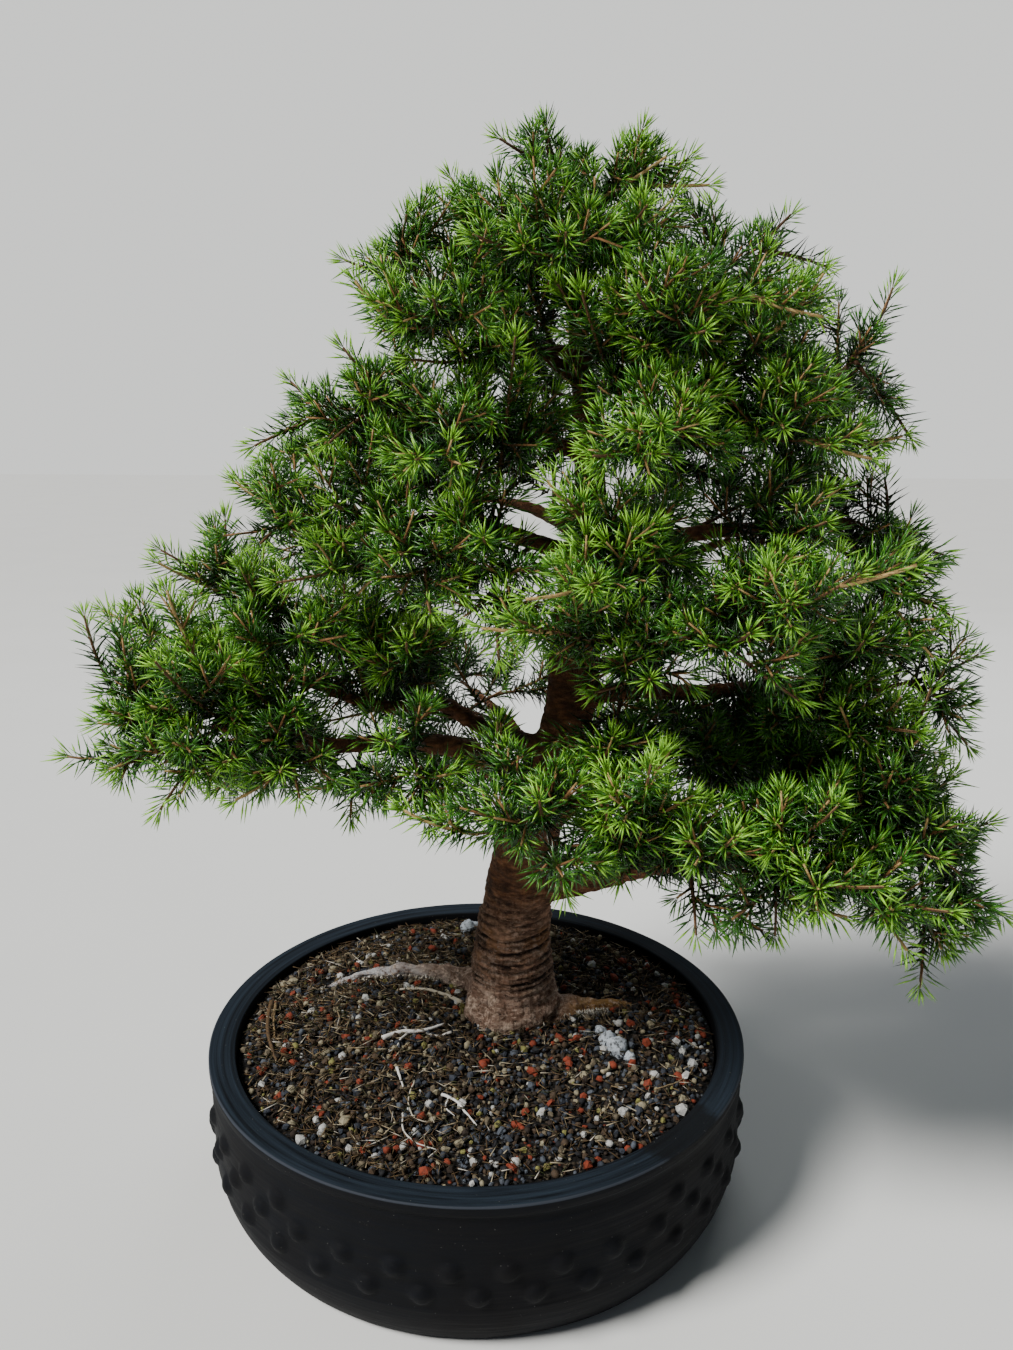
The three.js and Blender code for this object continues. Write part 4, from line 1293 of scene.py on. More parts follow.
@dataclass(frozen=True)
class ShootPattern:
    """A straight length of shoot along +Z with its needles, copied many times."""

    kind: ShootKind
    length: float
    seed: int
    per_metre: float = 1250.0
    core: float = 0.0008

    def lean(self, share: float, draw: float) -> float:
        """Gives a needle's angle from the shoot, in radians.

        Args:
            share: Where on the shoot, 0 to 1.
            draw: A random number, 0 to 1.

        Returns:
            The angle.
        """
        if self.kind is ShootKind.TIP:
            return math.radians(60 - 36 * share ** 1.8 + 18 * (draw - 0.5))
        return math.radians((66 if self.kind is ShootKind.COMB else 60) + 18 * (draw - 0.5))

    def mesh(self, needle: bpy.types.Mesh) -> bpy.types.Mesh:
        """Makes the length of shoot.

        Args:
            needle: The needle that is copied.

        Returns:
            A mesh whose first material is the needles' and whose second is the twig's.
        """
        is_tip = self.kind is ShootKind.TIP
        core = bmesh.new()
        top = self.length if is_tip else self.length * 1.04
        bmesh.ops.create_cone(core, cap_ends=True, segments=3, radius1=self.core,
                              radius2=self.core * (0.7 if is_tip else 0.95), depth=top,
                              matrix=Matrix.Translation((0, 0, top / 2)))
        for name in ("along", "tone", "age"):
            core.verts.layers.float.new(name)
        for face in core.faces:
            face.material_index = 1
        bm = bmesh.new()
        add_copy(bm, to_mesh("core", core), Matrix.Identity(4))
        count = round(self.length * self.per_metre)
        for index in range(count + (7 if is_tip else 0)):
            share = min(1.0, (index + 0.5) / count)
            draw = scatter(index, self.seed, 3)
            lean = self.lean(share, draw) * (0.7 + 0.9 * draw if index >= count else 1.0)
            size = (1.0 - 0.25 * max(0.0, share - 0.7) / 0.3) * spread(0.85, 1.12, index, self.seed, 9)
            matrix = (Matrix.Translation((0, 0, share * self.length))
                      @ Matrix.Rotation(index * GOLDEN_ANGLE + 0.5 * draw, 4, "Z")
                      @ Matrix.Rotation(lean, 4, "Y") @ Matrix.Scale(size, 4))
            add_copy(bm, needle, matrix, tone=scatter(index, self.seed, 17))
        reach = bm.verts.layers.float.new("reach")
        for vert in bm.verts:
            vert[reach] = min(1.0, max(0.0, vert.co.z / self.length))
        return to_mesh("shoot_pattern", bm)


@dataclass(frozen=True)
class SprayPlan:
    """Where one spray grows and the points that its twigs reach, in millimetres."""

    limb: str
    at: float
    tips: tuple[Point, ...]
    bends: tuple[int, ...] = (0, 0, 0)
    sides: tuple[float, ...] = ()
    inner: tuple[tuple[float, Point], ...] = ()
    leaders: tuple[tuple[int, float, Point], ...] = ()


SPRAYS: dict[str, SprayPlan] = {
    "left_low_tip": SprayPlan("leftLow", 0.96, ((-222, -35, 268), (-206, -35, 346)), (9, 0),
        inner=((0.95, (-195, -40, 295)),),
        leaders=((2, 0.5, (-200, -45, 290)),)),
    "left_low_outer": SprayPlan("leftLow", 0.86, ((-143, -62, 336), (-159, -78, 254)),
        inner=((0.9, (-150, -95, 335)), (0.85, (-125, -80, 280)), (0.85, (-200, 35, 325))),
        leaders=((0, 1, (-150, -70, 365)), (1, 0.4, (-150, -75, 260)),)),
    "left_low_middle": SprayPlan("leftLow", 0.7, ((-116, -66, 322), (-87, -82, 262)),
        inner=((0.7, (-165, 50, 220)),),
        leaders=((1, 0.4, (-120, -80, 260)),)),
    "left_low_hanging": SprayPlan("leftLow", 0.58, ((-68, -42, 236), (-110, 26, 262)),
        leaders=((0, 0.4, (-95, -35, 250)), (1, 0.4, (-105, 10, 275)),)),
    "left_low_inner": SprayPlan("leftLow", 0.4, ((-42, -92, 296), (-22, -78, 246)),
        leaders=((1, 0.4, (-20, -65, 250)),)),
    "left_back_tip": SprayPlan("leftBack", 0.96, ((-173, -5, 377), (-142, 15, 392)), (2, 0),
        leaders=((0, 0.6, (-175, -5, 370)),)),
    "left_back_outer": SprayPlan("leftBack", 0.86, ((-122, -36, 372), (-84, -72, 344)),
        inner=((0.8, (-190, 15, 330)),),
        leaders=((2, 0.9, (-215, 15, 340)),)),
    "left_back_middle": SprayPlan("leftBack", 0.66, ((-66, -52, 366), (-104, 62, 338))),
    "left_back_inner": SprayPlan("leftBack", 0.46, ((-34, -62, 338), (-56, 92, 306)),
        inner=((0.3, (-115, 40, 300)),),
        leaders=((2, 0.4, (-90, 30, 270)),)),
    "left_mid_tip": SprayPlan("leftMid", 0.96, ((-124, -20, 416), (-104, -66, 388)),
        leaders=((0, 0.4, (-125, -25, 415)),)),
    "left_mid_outer": SprayPlan("leftMid", 0.8, ((-65, -80, 408), (-76, 34, 420)),
        inner=((0.8, (-115, 30, 360)),)),
    "left_mid_middle": SprayPlan("leftMid", 0.6, ((-33, -92, 386), (-18, -112, 362))),
    "left_mid_inner": SprayPlan("leftMid", 0.38, ((6, -110, 396), (13, -92, 336)),
        inner=((0.4, (20, -65, 485)), (0.5, (-95, -75, 370)), (0.35, (-75, 20, 455)), (0.2, (-65, 0, 335))),
        leaders=((1, 0.4, (20, -75, 340)), (3, 0.4, (-60, -50, 360)),)),
    "left_upper_tip": SprayPlan("leftUpper", 0.95, ((-97, -10, 466), (-110, -42, 434))),
    "left_upper_middle": SprayPlan("leftUpper", 0.7, ((-66, -30, 482), (-69, -66, 436)),
        inner=((0.65, (-95, 0, 430)),),
        leaders=((2, 0.8, (-115, 0, 425)),)),
    "left_upper_inner": SprayPlan("leftUpper", 0.45, ((-24, -108, 430), (-34, 52, 462)), (0, 5)),
    "left_top_tip": SprayPlan("leftTop", 0.94, ((-67, -10, 526), (-34, -20, 546))),
    "left_top_middle": SprayPlan("leftTop", 0.62, ((-43, -56, 488), (-17, -82, 500)),
        leaders=((0, 0.8, (-55, -60, 510)),)),
    "left_top_inner": SprayPlan("leftTop", 0.4, ((-13, 0, 567), (-24, 50, 540)), (2, 0),
        inner=((0.2, (20, 30, 565)),),
        leaders=((0, 0.6, (-20, 10, 560)), (2, 0.7, (10, 30, 570)),)),
    "apex_leader": SprayPlan("trunk", 0.985, ((35, 0, 592), (12, -14, 582))),
    "apex_right": SprayPlan("trunk", 0.955, ((84, 0, 590), (110, 12, 579)),
        leaders=((0, 0.4, (95, -10, 575)), (1, 0.4, (120, 5, 565)),)),
    "apex_front": SprayPlan("trunk", 0.93, ((42, -82, 528), (0, -62, 530))),
    "apex_back": SprayPlan("trunk", 0.9, ((80, -62, 543), (62, 74, 566)),
        inner=((0.85, (-30, -55, 475)),),
        leaders=((0, 0.5, (95, -40, 550)),)),
    "right_top_tip": SprayPlan("rightTop", 0.94, ((164, 10, 552), (188, 22, 528)), (7, 0)),
    "right_top_middle": SprayPlan("rightTop", 0.66, ((138, -54, 504), (128, 44, 562)),
        leaders=((0, 0.8, (165, -60, 495)),)),
    "right_top_inner": SprayPlan("rightTop", 0.4, ((104, -92, 486), (74, -86, 502)),
        inner=((0.2, (40, -50, 510)),)),
    "right_high_tip": SprayPlan("rightHigh", 0.95, ((217, 0, 515), (226, -22, 438)),
        inner=((0.85, (225, 95, 475)),)),
    "right_high_middle": SprayPlan("rightHigh", 0.68, ((144, -82, 444), (176, 50, 498)),
        inner=((0.55, (205, -15, 435)),),
        leaders=((2, 0.8, (220, -25, 440)),)),
    "right_high_inner": SprayPlan("rightHigh", 0.36, ((82, -120, 446), (54, -112, 432)),
        inner=((0.3, (180, -65, 440)), (0.25, (160, -50, 505)), (0.2, (145, -25, 410)),
               (0.2, (50, -70, 505))),
        leaders=((3, 0.8, (165, -55, 515)), (2, 0.8, (190, -70, 430)),)),
    "right_upper_tip": SprayPlan("rightUpper", 0.96, ((250, -20, 378), (222, 2, 418)),
        inner=((0.9, (230, -45, 340)),),
        leaders=((2, 0.8, (235, -55, 330)),)),
    "right_upper_outer": SprayPlan("rightUpper", 0.78, ((246, -44, 350), (214, 44, 400)),
        leaders=((0, 0.6, (240, -40, 355)),)),
    "right_upper_middle": SprayPlan("rightUpper", 0.56, ((164, -92, 402), (118, -112, 374))),
    "right_upper_inner": SprayPlan("rightUpper", 0.3, ((52, -130, 378), (44, -94, 412)),
        inner=((0.35, (210, 20, 445)),),
        leaders=((2, 0.8, (215, 20, 450)), (1, 0.6, (35, -85, 420)), (0, 0.8, (25, -120, 370)),)),
    "right_mid_tip": SprayPlan("rightMid", 0.96, ((274, -20, 324), (268, -32, 276))),
    "right_mid_outer": SprayPlan("rightMid", 0.76, ((186, -92, 346), (232, 46, 322)),
        inner=((0.65, (210, -105, 305)), (0.35, (200, -55, 260)), (0.25, (95, 30, 405)),
               (0.2, (155, -55, 240))),
        leaders=((4, 0.8, (80, 35, 415)),)),
    "right_front_tip": SprayPlan("rightFront", 0.94, ((124, -124, 356), (152, -112, 322)),
        inner=((0.85, (165, -140, 385)), (0.8, (20, -115, 360))),
        leaders=((3, 0.8, (5, -110, 355)), (2, 0.9, (185, -150, 390)),)),
    "right_front_inner": SprayPlan("rightFront", 0.6, ((82, -114, 332), (60, -84, 318)),
        inner=((0.35, (65, -105, 260)), (0.6, (170, -75, 370))),
        leaders=((3, 0.8, (175, -80, 385)),)),
    "right_low_tip": SprayPlan("rightLow", 0.97, ((278, -45, 236), (276, -76, 197), (230, -92, 164)),
        bends=(3, 0, 0),
        leaders=((2, 0.4, (240, -90, 185)),)),
    "right_low_outer": SprayPlan("rightLow", 0.84, ((266, -24, 256), (224, -112, 244)),
        inner=((0.9, (225, -80, 320)), (0.8, (225, -130, 225))),
        leaders=((2, 0.6, (220, -75, 305)), (0, 0.6, (255, -30, 265)), (3, 0.5, (210, -120, 200)),)),
    "right_low_middle": SprayPlan("rightLow", 0.68, ((170, -124, 276), (152, -98, 196)),
        inner=((0.6, (190, -135, 240)), (0.7, (220, -5, 285))),
        leaders=((3, 0.9, (240, 0, 305)), (2, 0.4, (165, -100, 210)), (1, 0.4, (185, -105, 210)),)),
    "right_low_inner": SprayPlan("rightLow", 0.5, ((121, -130, 262), (112, -100, 197))),
    "right_low_raised": SprayPlan("rightLow", 0.36, ((82, -128, 296), (74, -92, 224)),
        inner=((0.3, (170, -20, 210)),),
        leaders=((2, 0.6, (170, -35, 180)),)),
    "front_low_tip": SprayPlan("frontLow", 0.94, ((32, -122, 276), (46, -108, 222))),
    "front_low_side": SprayPlan("frontLow", 0.6, ((2, -74, 240), (12, -46, 292)),
        leaders=((0, 1, (-35, -80, 255)),)),
    "back_low_tip": SprayPlan("backLow", 0.95, ((-44, 160, 288), (22, 166, 272)), sides=(0.62,)),
    "back_low_side": SprayPlan("backLow", 0.6, ((-62, 112, 262), (66, 134, 250)), (3, 12, 0), (0.62,),
        inner=((0.25, (-60, 50, 235)),),
        leaders=((3, 0.9, (-75, 40, 210)),)),
    "back_low_right_tip": SprayPlan("backLowRight", 0.95, ((216, 104, 266), (176, 142, 272)), sides=(0.62,),
        inner=((0.9, (250, 40, 275)),)),
    "back_low_right_side": SprayPlan("backLowRight", 0.6, ((196, 40, 236), (116, 136, 256)),
        bends=(0, 5, 0), sides=(0.62,),
        inner=((0.55, (210, 45, 220)), (0.25, (95, 140, 260)))),
    "back_mid_tip": SprayPlan("backMid", 0.94, ((112, 158, 370), (48, 148, 346)), sides=(0.62,),
        inner=((0.55, (165, 45, 340)),)),
    "back_mid_right_tip": SprayPlan("backMidRight", 0.94, ((206, 90, 390), (168, 122, 352)), sides=(0.62,)),
    "back_mid_left_tip": SprayPlan("backMidLeft", 0.94, ((-52, 106, 420), (8, 128, 400)), sides=(0.62,),
        inner=((0.3, (45, 70, 465)),)),
    "back_high_tip": SprayPlan("backHigh", 0.94, ((112, 124, 484), (50, 122, 470)), sides=(0.62,),
        inner=((0.25, (-15, 70, 490)), (0.35, (155, 5, 510)), (0.5, (0, 95, 410)), (0.2, (140, 85, 390))),
        leaders=((4, 0.8, (165, 5, 520)),)),
    "back_high_left_tip": SprayPlan("backHighLeft", 0.94, ((-38, 88, 512), (18, 96, 532)), sides=(0.62,),
        inner=((0.25, (-35, 15, 530)),),
        leaders=((3, 0.8, (-50, 15, 535)),)),
}


@dataclass(frozen=True)
class CrownOutline:
    """The crown's outline and openings, in millimetres on the upright plane through the trunk."""

    eye: Point = (16.6, -582.3, 447.6)
    depth: float = 20.0
    reach: float = 0.0055
    edge: tuple[tuple[float, float], ...] = (
        (15, 590), (35, 602), (50, 587), (84, 596), (108, 588), (127, 563), (122, 546), (160, 554),
        (164, 531), (192, 530), (200, 508), (184, 487), (201, 482), (228, 518), (219, 487), (234, 470),
        (227, 452), (245, 442), (229, 425), (228, 396), (250, 391), (271, 370), (264, 360), (290, 330),
        (297, 285), (284, 219), (309, 211), (303, 168), (328, 152), (318, 126), (276, 100), (265, 138),
        (205, 146), (190, 124), (132, 128), (118, 152), (86, 160), (62, 150), (30, 150), (3, 178),
        (10, 204), (-38, 203), (-52, 222), (-65, 206), (-86, 205), (-88, 231), (-140, 212), (-197, 212),
        (-184, 240), (-246, 239), (-253, 257), (-231, 256), (-243, 279), (-203, 302), (-236, 334),
        (-204, 348), (-188, 375), (-173, 342), (-156, 396), (-142, 388), (-151, 354), (-121, 382),
        (-107, 380), (-141, 408), (-102, 450), (-108, 470), (-90, 462), (-78, 483), (-49, 479),
        (-52, 506), (-74, 518), (-71, 535), (-45, 544), (-25, 568),
    )
    openings: tuple[tuple[float, float, float, float], ...] = (
        (28, 400, 13, 11), (-8, 290, 14, 20), (28, 292, 13, 26), (-80, 275, 16, 9), (104, 143, 35, 25),
    )
    windows: tuple[tuple[float, float, float, float], ...] = (
        (56, 284, 24, 25), (104, 292, 38, 11), (-35, 258, 40, 8), (142, 385, 36, 8), (25, 386, 24, 9),
    )

    def allows(self, point: Vector) -> bool:
        """Tells whether a point, seen from the front, lies in the crown and leaves its openings free.

        Args:
            point: The point in metres.

        Returns:
            True where a shoot may be. An opening is free all the way through, a window only as far as
            the wood.
        """
        ratio = (self.depth - self.eye[1]) / (point.y / MM - self.eye[1])
        x = self.eye[0] + (point.x / MM - self.eye[0]) * ratio
        z = self.eye[2] + (point.z / MM - self.eye[2]) * ratio
        holes = self.openings + (self.windows if point.y < self.depth * MM else ())
        if any(((x - cx) / a) ** 2 + ((z - cz) / b) ** 2 < 1 for cx, cz, a, b in holes):
            return False
        is_in = False
        for (x1, z1), (x2, z2) in zip(self.edge, self.edge[1:] + self.edge[:1]):
            if (z1 > z) != (z2 > z) and x < x1 + (x2 - x1) * (z - z1) / (z2 - z1):
                is_in = not is_in
        return is_in


@dataclass
class Foliage:
    """Every spray: twigs on the solids' own routes, side shoots between them, and their needles."""

    fork: float = 0.36
    side_twig: float = 0.040
    sleeve_length: float = 0.012
    shoot_step: float = 0.0065
    longest_shoot: float = 0.048
    shortest_shoot: float = 0.012
    least_shoot: float = 0.007
    stub: float = 0.010
    leader: float = 0.032
    rise: float = 0.16
    margin: float = 0.010
    low_needles: float = 1.14
    high_needles: float = 0.94
    outline: CrownOutline = field(default_factory=CrownOutline)
    tip_lengths: tuple[float, ...] = (0.009, 0.009, 0.013, 0.013, 0.017, 0.017, 0.017, 0.021, 0.021)
    patterns: dict[ShootKind, list[tuple[float, bpy.types.Mesh, np.ndarray]]] = field(default_factory=dict)

    def make_patterns(self) -> None:
        """Makes the lengths of shoot that every spray copies."""
        needles = {ShootKind.TIP: NeedleShape().mesh(), ShootKind.COMB: NeedleShape(widest=0.4).mesh(),
                   ShootKind.SLEEVE: NeedleShape(radius=0.00078, widest=0.0).mesh()}
        tips = [ShootPattern(ShootKind.TIP, length, seed) for seed, length in enumerate(self.tip_lengths)]
        sleeves = [ShootPattern(ShootKind.SLEEVE, self.sleeve_length, 40 + seed, 1200.0) for seed in range(5)]
        combs = [ShootPattern(ShootKind.COMB, self.sleeve_length, 60 + seed, 1500.0) for seed in range(4)]
        for pattern in tips + sleeves + combs:
            mesh = pattern.mesh(needles[pattern.kind])
            reach = np.empty(len(mesh.vertices), np.float32)
            mesh.attributes["reach"].data.foreach_get("value", reach)
            mesh.attributes.remove(mesh.attributes["reach"])
            self.patterns.setdefault(pattern.kind, []).append((pattern.length, mesh, reach))

    def twig_routes(self, plan: SprayPlan) -> list[Route]:
        """Gives the twigs of one spray, on the routes of its solid.

        Args:
            plan: The spray.

        Returns:
            The twig that leaves the limb and the twigs that fork off it.
        """
        limb = LIMBS[plan.limb].route()
        start = limb.at(plan.at)
        tips = [vec_mm(tip) for tip in plan.tips]
        centre = sum(tips, Vector()) / len(tips)
        routes = [self.bent(start, (centre - start).normalized(), tips[0], plan.bends[0])]
        for index, tip in enumerate(tips[1:]):
            share = self.fork + 0.1 * index
            bend = plan.bends[index + 1] if len(plan.bends) > index + 1 else 0
            routes.append(self.bent(routes[0].at(share), routes[0].along(share), tip, bend))
        for share in plan.sides:
            fork, along = routes[0].at(share), routes[0].along(share)
            away = fork - tips[1] + UP * 0.020
            away = (away - along * away.dot(along)).normalized()
            tip = fork + (along + away) * (0.7 * self.side_twig)
            routes.append(self.bent(fork, along, tip, 0))
        for share, tip in plan.inner:
            root, end = limb.at(share), vec_mm(tip)
            routes.append(self.bent(root, (end - root).normalized(), end, 0))
        return routes

    def grow_leader(self, bm: bmesh.types.BMesh, twig: Route, share: float, tip: Vector, seed: float) -> None:
        """Grows one straight leading shoot off a twig, with a few short shoots at its foot.

        Args:
            bm: The spray's mesh.
            twig: The twig that carries it.
            share: Where on the twig it starts.
            tip: Where it ends.
            seed: A number that sets its scatter.
        """
        route = self.bent(twig.at(share), twig.along(share), tip, 0)
        add_tube(bm, route, lambda spot: 0.0012 - 0.0005 * spot, 6, 6, slot=1, age=0.12)
        self.clothe(bm, route, 0.06, 0.40, 0.0, seed, ShootKind.COMB)
        for index in range(3):
            turn = math.radians(spread(-110, 110, seed, index, 6))
            reach = spread(0.013, 0.020, seed, index, 4)
            shoot = self.side_route(route, 0.18 + 0.12 * index, reach, turn, 0.85)
            kept = self.trimmed(shoot)
            if kept is not None:
                self.clothe(bm, kept, 0.0, 0.45, 0.10, seed * 3 + index)

    @staticmethod
    def bent(start: Vector, lead: Vector, tip: Vector, bend: int) -> Route:
        """Gives a twig from start to tip that leaves along lead and is bent round its neighbours.

        Args:
            start: Where it starts.
            lead: The direction in which it leaves.
            tip: Where it ends.
            bend: How it is bent, 0 for a plain arch.

        Returns:
            The twig's middle line.
        """
        span = (tip - start).length
        ahead = (tip - start).normalized()
        side = ahead.cross(UP).normalized()
        turn = bend * 1.3
        amount = (0.07 if bend == 0 else 0.05 + 0.02 * bend) * span
        control = start.lerp(tip, 0.5) + lead * (0.12 * span)
        control += side.cross(ahead) * (-amount * math.cos(turn)) + side * (amount * math.sin(turn))
        return Route.arch(start, control, tip)

    def trimmed(self, shoot: Route) -> Optional[Route]:
        """Shortens a shoot until its needles keep to the crown's outline and to the solids' box.

        Args:
            shoot: The shoot's full line.

        Returns:
            The shoot, or nothing where too little of it is left.
        """
        shares = [1.0, 0.8, 0.6, 0.4]
        if self.outline.allows(shoot.at(0.0)):
            shares.append(self.stub / shoot.length)
        for share in shares:
            end = shoot.at(share)
            needle_end = end + shoot.along(share) * self.outline.reach
            is_clear = self.outline.allows(needle_end) and self.outline.allows(end)
            if self.is_boxed(end) and (is_clear or share == shares[-1] and len(shares) > 4):
                kept = [shoot.at(share * step / 8) for step in range(9)]
                return Route(kept) if share * shoot.length > self.least_shoot else None
        return None

    def is_boxed(self, point: Vector) -> bool:
        """Tells whether a shoot that ends at a point keeps its needles in the solids' box."""
        low, high = CAD_BOX
        return all(low[i] + self.margin < point[i] < high[i] - self.margin for i in range(3))

    def copy_pattern(self, bm: bmesh.types.BMesh, kind: ShootKind, length: float, matrix: Matrix,
                     ages: tuple[float, float], seed: float) -> None:
        """Adds one copied length of shoot.

        Args:
            bm: The spray's mesh.
            kind: Which kind of length it is.
            length: The length that it should have.
            matrix: Where it stands.
            ages: The age at its start and at its end, 0 for fresh and 1 for old.
            seed: A number that picks the pattern.
        """
        nearest = min(abs(own - length) for own, _, _ in self.patterns[kind])
        choices = [item for item in self.patterns[kind] if abs(item[0] - length) < nearest + 1e-6]
        own, mesh, reach = choices[int(scatter(seed, 5) * len(choices))]
        height = smooth_step(0.22, 0.42, matrix.translation.z)
        wide = self.low_needles + (self.high_needles - self.low_needles) * height
        add_copy(bm, mesh, matrix @ Matrix.Diagonal((wide, wide, length / own, 1)),
                 age=ages[0] + (ages[1] - ages[0]) * reach)

    def clothe(self, bm: bmesh.types.BMesh, route: Route, first: float, old: float, new: float, seed: float,
               cover: ShootKind = ShootKind.SLEEVE) -> None:
        """Covers a route with needles from a share of its length to its tip.

        Args:
            bm: The spray's mesh.
            route: The shoot's middle line.
            first: The share where the needles start.
            old: The age of the needles at the start.
            new: The age of the needles at the tip.
            seed: A number that picks the patterns.
            cover: How the route is covered below its tip.
        """
        covered = route.length * (1 - first)
        left_over = covered - self.sleeve_length * int(covered / self.sleeve_length - 0.7)
        tip_length = min(self.tip_lengths[-1], max(self.tip_lengths[0], left_over))
        sleeves = max(0, round((covered - tip_length) / self.sleeve_length))
        step = (covered - tip_length) / sleeves if sleeves else 0.0
        place = route.length * first if sleeves else route.length - tip_length
        for index in range(sleeves + 1):
            share = place / route.length
            end = (place + (step if index < sleeves else tip_length)) / route.length
            a, b = route.at(share), route.at(min(1.0, end))
            kind = cover if index < sleeves else ShootKind.TIP
            matrix = Matrix.Translation(a) @ facing(b - a, FULL_TURN * scatter(seed, index, 2))
            grown = [min(1.0, max(0.0, (spot - first) / (1 - first))) ** 2.4 for spot in (share, end)]
            ages = [old + (new - old) * part for part in grown]
            self.copy_pattern(bm, kind, max(0.008, (b - a).length), matrix, tuple(ages), seed + index)
            place += step

    def side_route(self, route: Route, share: float, reach: float, turn: float, lean: float) -> Route:
        """Gives a side shoot's line.

        Args:
            route: The twig that it grows on.
            share: Where on the twig it starts.
            reach: Its length.
            turn: Its angle about the twig, 0 for straight up.
            lean: Its angle from the twig.

        Returns:
            The line, rising a little towards its end.
        """
        start, ahead = route.at(share), route.along(share)
        side = ahead.cross(UP)
        side = side.normalized() if side.length > 0.1 else Vector((1, 0, 0))
        out = side.cross(ahead) * math.cos(turn) + side * math.sin(turn)
        heading = (ahead * math.cos(lean) + out * math.sin(lean)).normalized()
        end = start + heading * reach + UP * (self.rise * reach)
        return Route.arch(start, start + heading * (0.5 * reach), end, 8)

    def grow_twig(self, bm: bmesh.types.BMesh, route: Route, seed: int) -> None:
        """Grows one twig with its side shoots and their own side shoots.

        Args:
            bm: The spray's mesh.
            route: The twig's middle line.
            seed: A number that sets its scatter.
        """
        add_tube(bm, route, lambda share: 0.0014 - 0.0008 * share, 5, max(4, round(route.length / 0.010)),
                 slot=1, age=0.85)
        self.clothe(bm, route, 0.34, 0.85, 0.0, seed)
        last = max(0.55, 1 - self.leader / route.length)
        count = max(3, round(route.length * (last - 0.10) / self.shoot_step))
        for index in range(count):
            share = 0.14 + (last - 0.14) * (index + 0.6 * scatter(seed, index, 1)) / count
            reach = self.longest_shoot + (self.shortest_shoot - self.longest_shoot) * share
            reach *= spread(0.75, 1.2, seed, index, 4)
            flank = 1 if index % 2 else -1
            turn = flank * math.radians(spread(12, 118, seed, index, 6))
            lean = math.radians(spread(38, 62, seed, index, 8))
            shoot = self.trimmed(self.side_route(route, share, reach, turn, lean))
            if shoot is None:
                continue
            reach = shoot.length
            age = 0.74 - 0.42 * share + 0.18 * scatter(seed, index, 12)
            self.clothe(bm, shoot, 0.10, age, max(0.0, age - 0.50), seed * 3 + index)
            for branch in range(2 if reach > 0.024 else 1 if reach > 0.018 else 0):
                where = 0.34 + 0.28 * branch
                small = spread(0.011, 0.018, seed, index, 20 + branch)
                tilt = turn + math.radians(90 * (1 - 2 * branch) + 40 * scatter(seed, index, 30 + branch))
                lean = math.radians(spread(36, 58, seed, index, 40 + branch))
                fork = self.trimmed(self.side_route(shoot, where, small, tilt, lean))
                if fork is not None:
                    self.clothe(bm, fork, 0.0, age, max(0.0, age - 0.50), seed * 7 + index + branch)

    def build(self, needles: bpy.types.Material, twigs: bpy.types.Material) -> None:
        """Builds every spray.

        Args:
            needles: The needles' material.
            twigs: The twigs' material.
        """
        self.make_patterns()
        for order, (name, plan) in enumerate(SPRAYS.items()):
            bm = bmesh.new()
            for layer in ("along", "tone", "age"):
                bm.verts.layers.float.new(layer)
            routes = self.twig_routes(plan)
            for index, route in enumerate(routes):
                self.grow_twig(bm, route, order * 10 + index)
            for index, (twig, share, tip) in enumerate(plan.leaders):
                self.grow_leader(bm, routes[twig], share, vec_mm(tip), order * 10 + index + 0.5)
            piece = to_object(f"leafy_{name}", bm, [needles, twigs], fix_normals=False)
            keep(piece, "needles", f"spray_{name}")


# Scraps on the soil: knots in millimetres, radius in millimetres and tone
SCRAPS: tuple[tuple[tuple[tuple[float, float], ...], float, float], ...] = (
    (((-57, -18), (-46, -12), (-34, -11), (-20, -3)), 1.6, 0.97),
    (((-42, -13), (-46, -20), (-47, -27)), 1.0, 0.95),
    (((-11, 21), (-22, 31), (-36, 37), (-52, 38)), 1.5, 0.90),
    (((-16, -12), (-24, -15), (-31, -13)), 1.0, 0.95),
    (((-45, -48), (-42, -58), (-40, -66)), 0.9, 0.97),
    (((-34, -60), (-36, -76), (-31, -92), (-22, -96)), 0.6, 0.9),
    (((-18, -72), (-10, -78), (-4, -88), (2, -98)), 0.9, 0.97),
    (((-14, -74), (-15, -84), (-10, -90)), 0.6, 0.97),
    (((-38, -88), (-36, -102), (-28, -112), (-18, -116)), 0.6, 0.95),
    (((72, -52), (76, -48), (77, -41)), 1.3, 0.86),
    (((100, -66), (112, -60), (124, -50)), 0.6, 0.75),
    (((-132, 22), (-130, 2), (-125, -18), (-116, -40)), 1.7, 0.50),
    (((-129, 20), (-126, 0), (-121, -20)), 1.1, 0.66),
)

# Pale stones on the soil: place and radius in millimetres
STONES: tuple[tuple[tuple[float, float], float], ...] = (
    ((83, -26), 6.6), ((79, -17), 5.6), ((76, -8), 3.8), ((90, -34), 3.0),
    ((-11, 127), 5.4), ((-7, 132), 4.2),
)


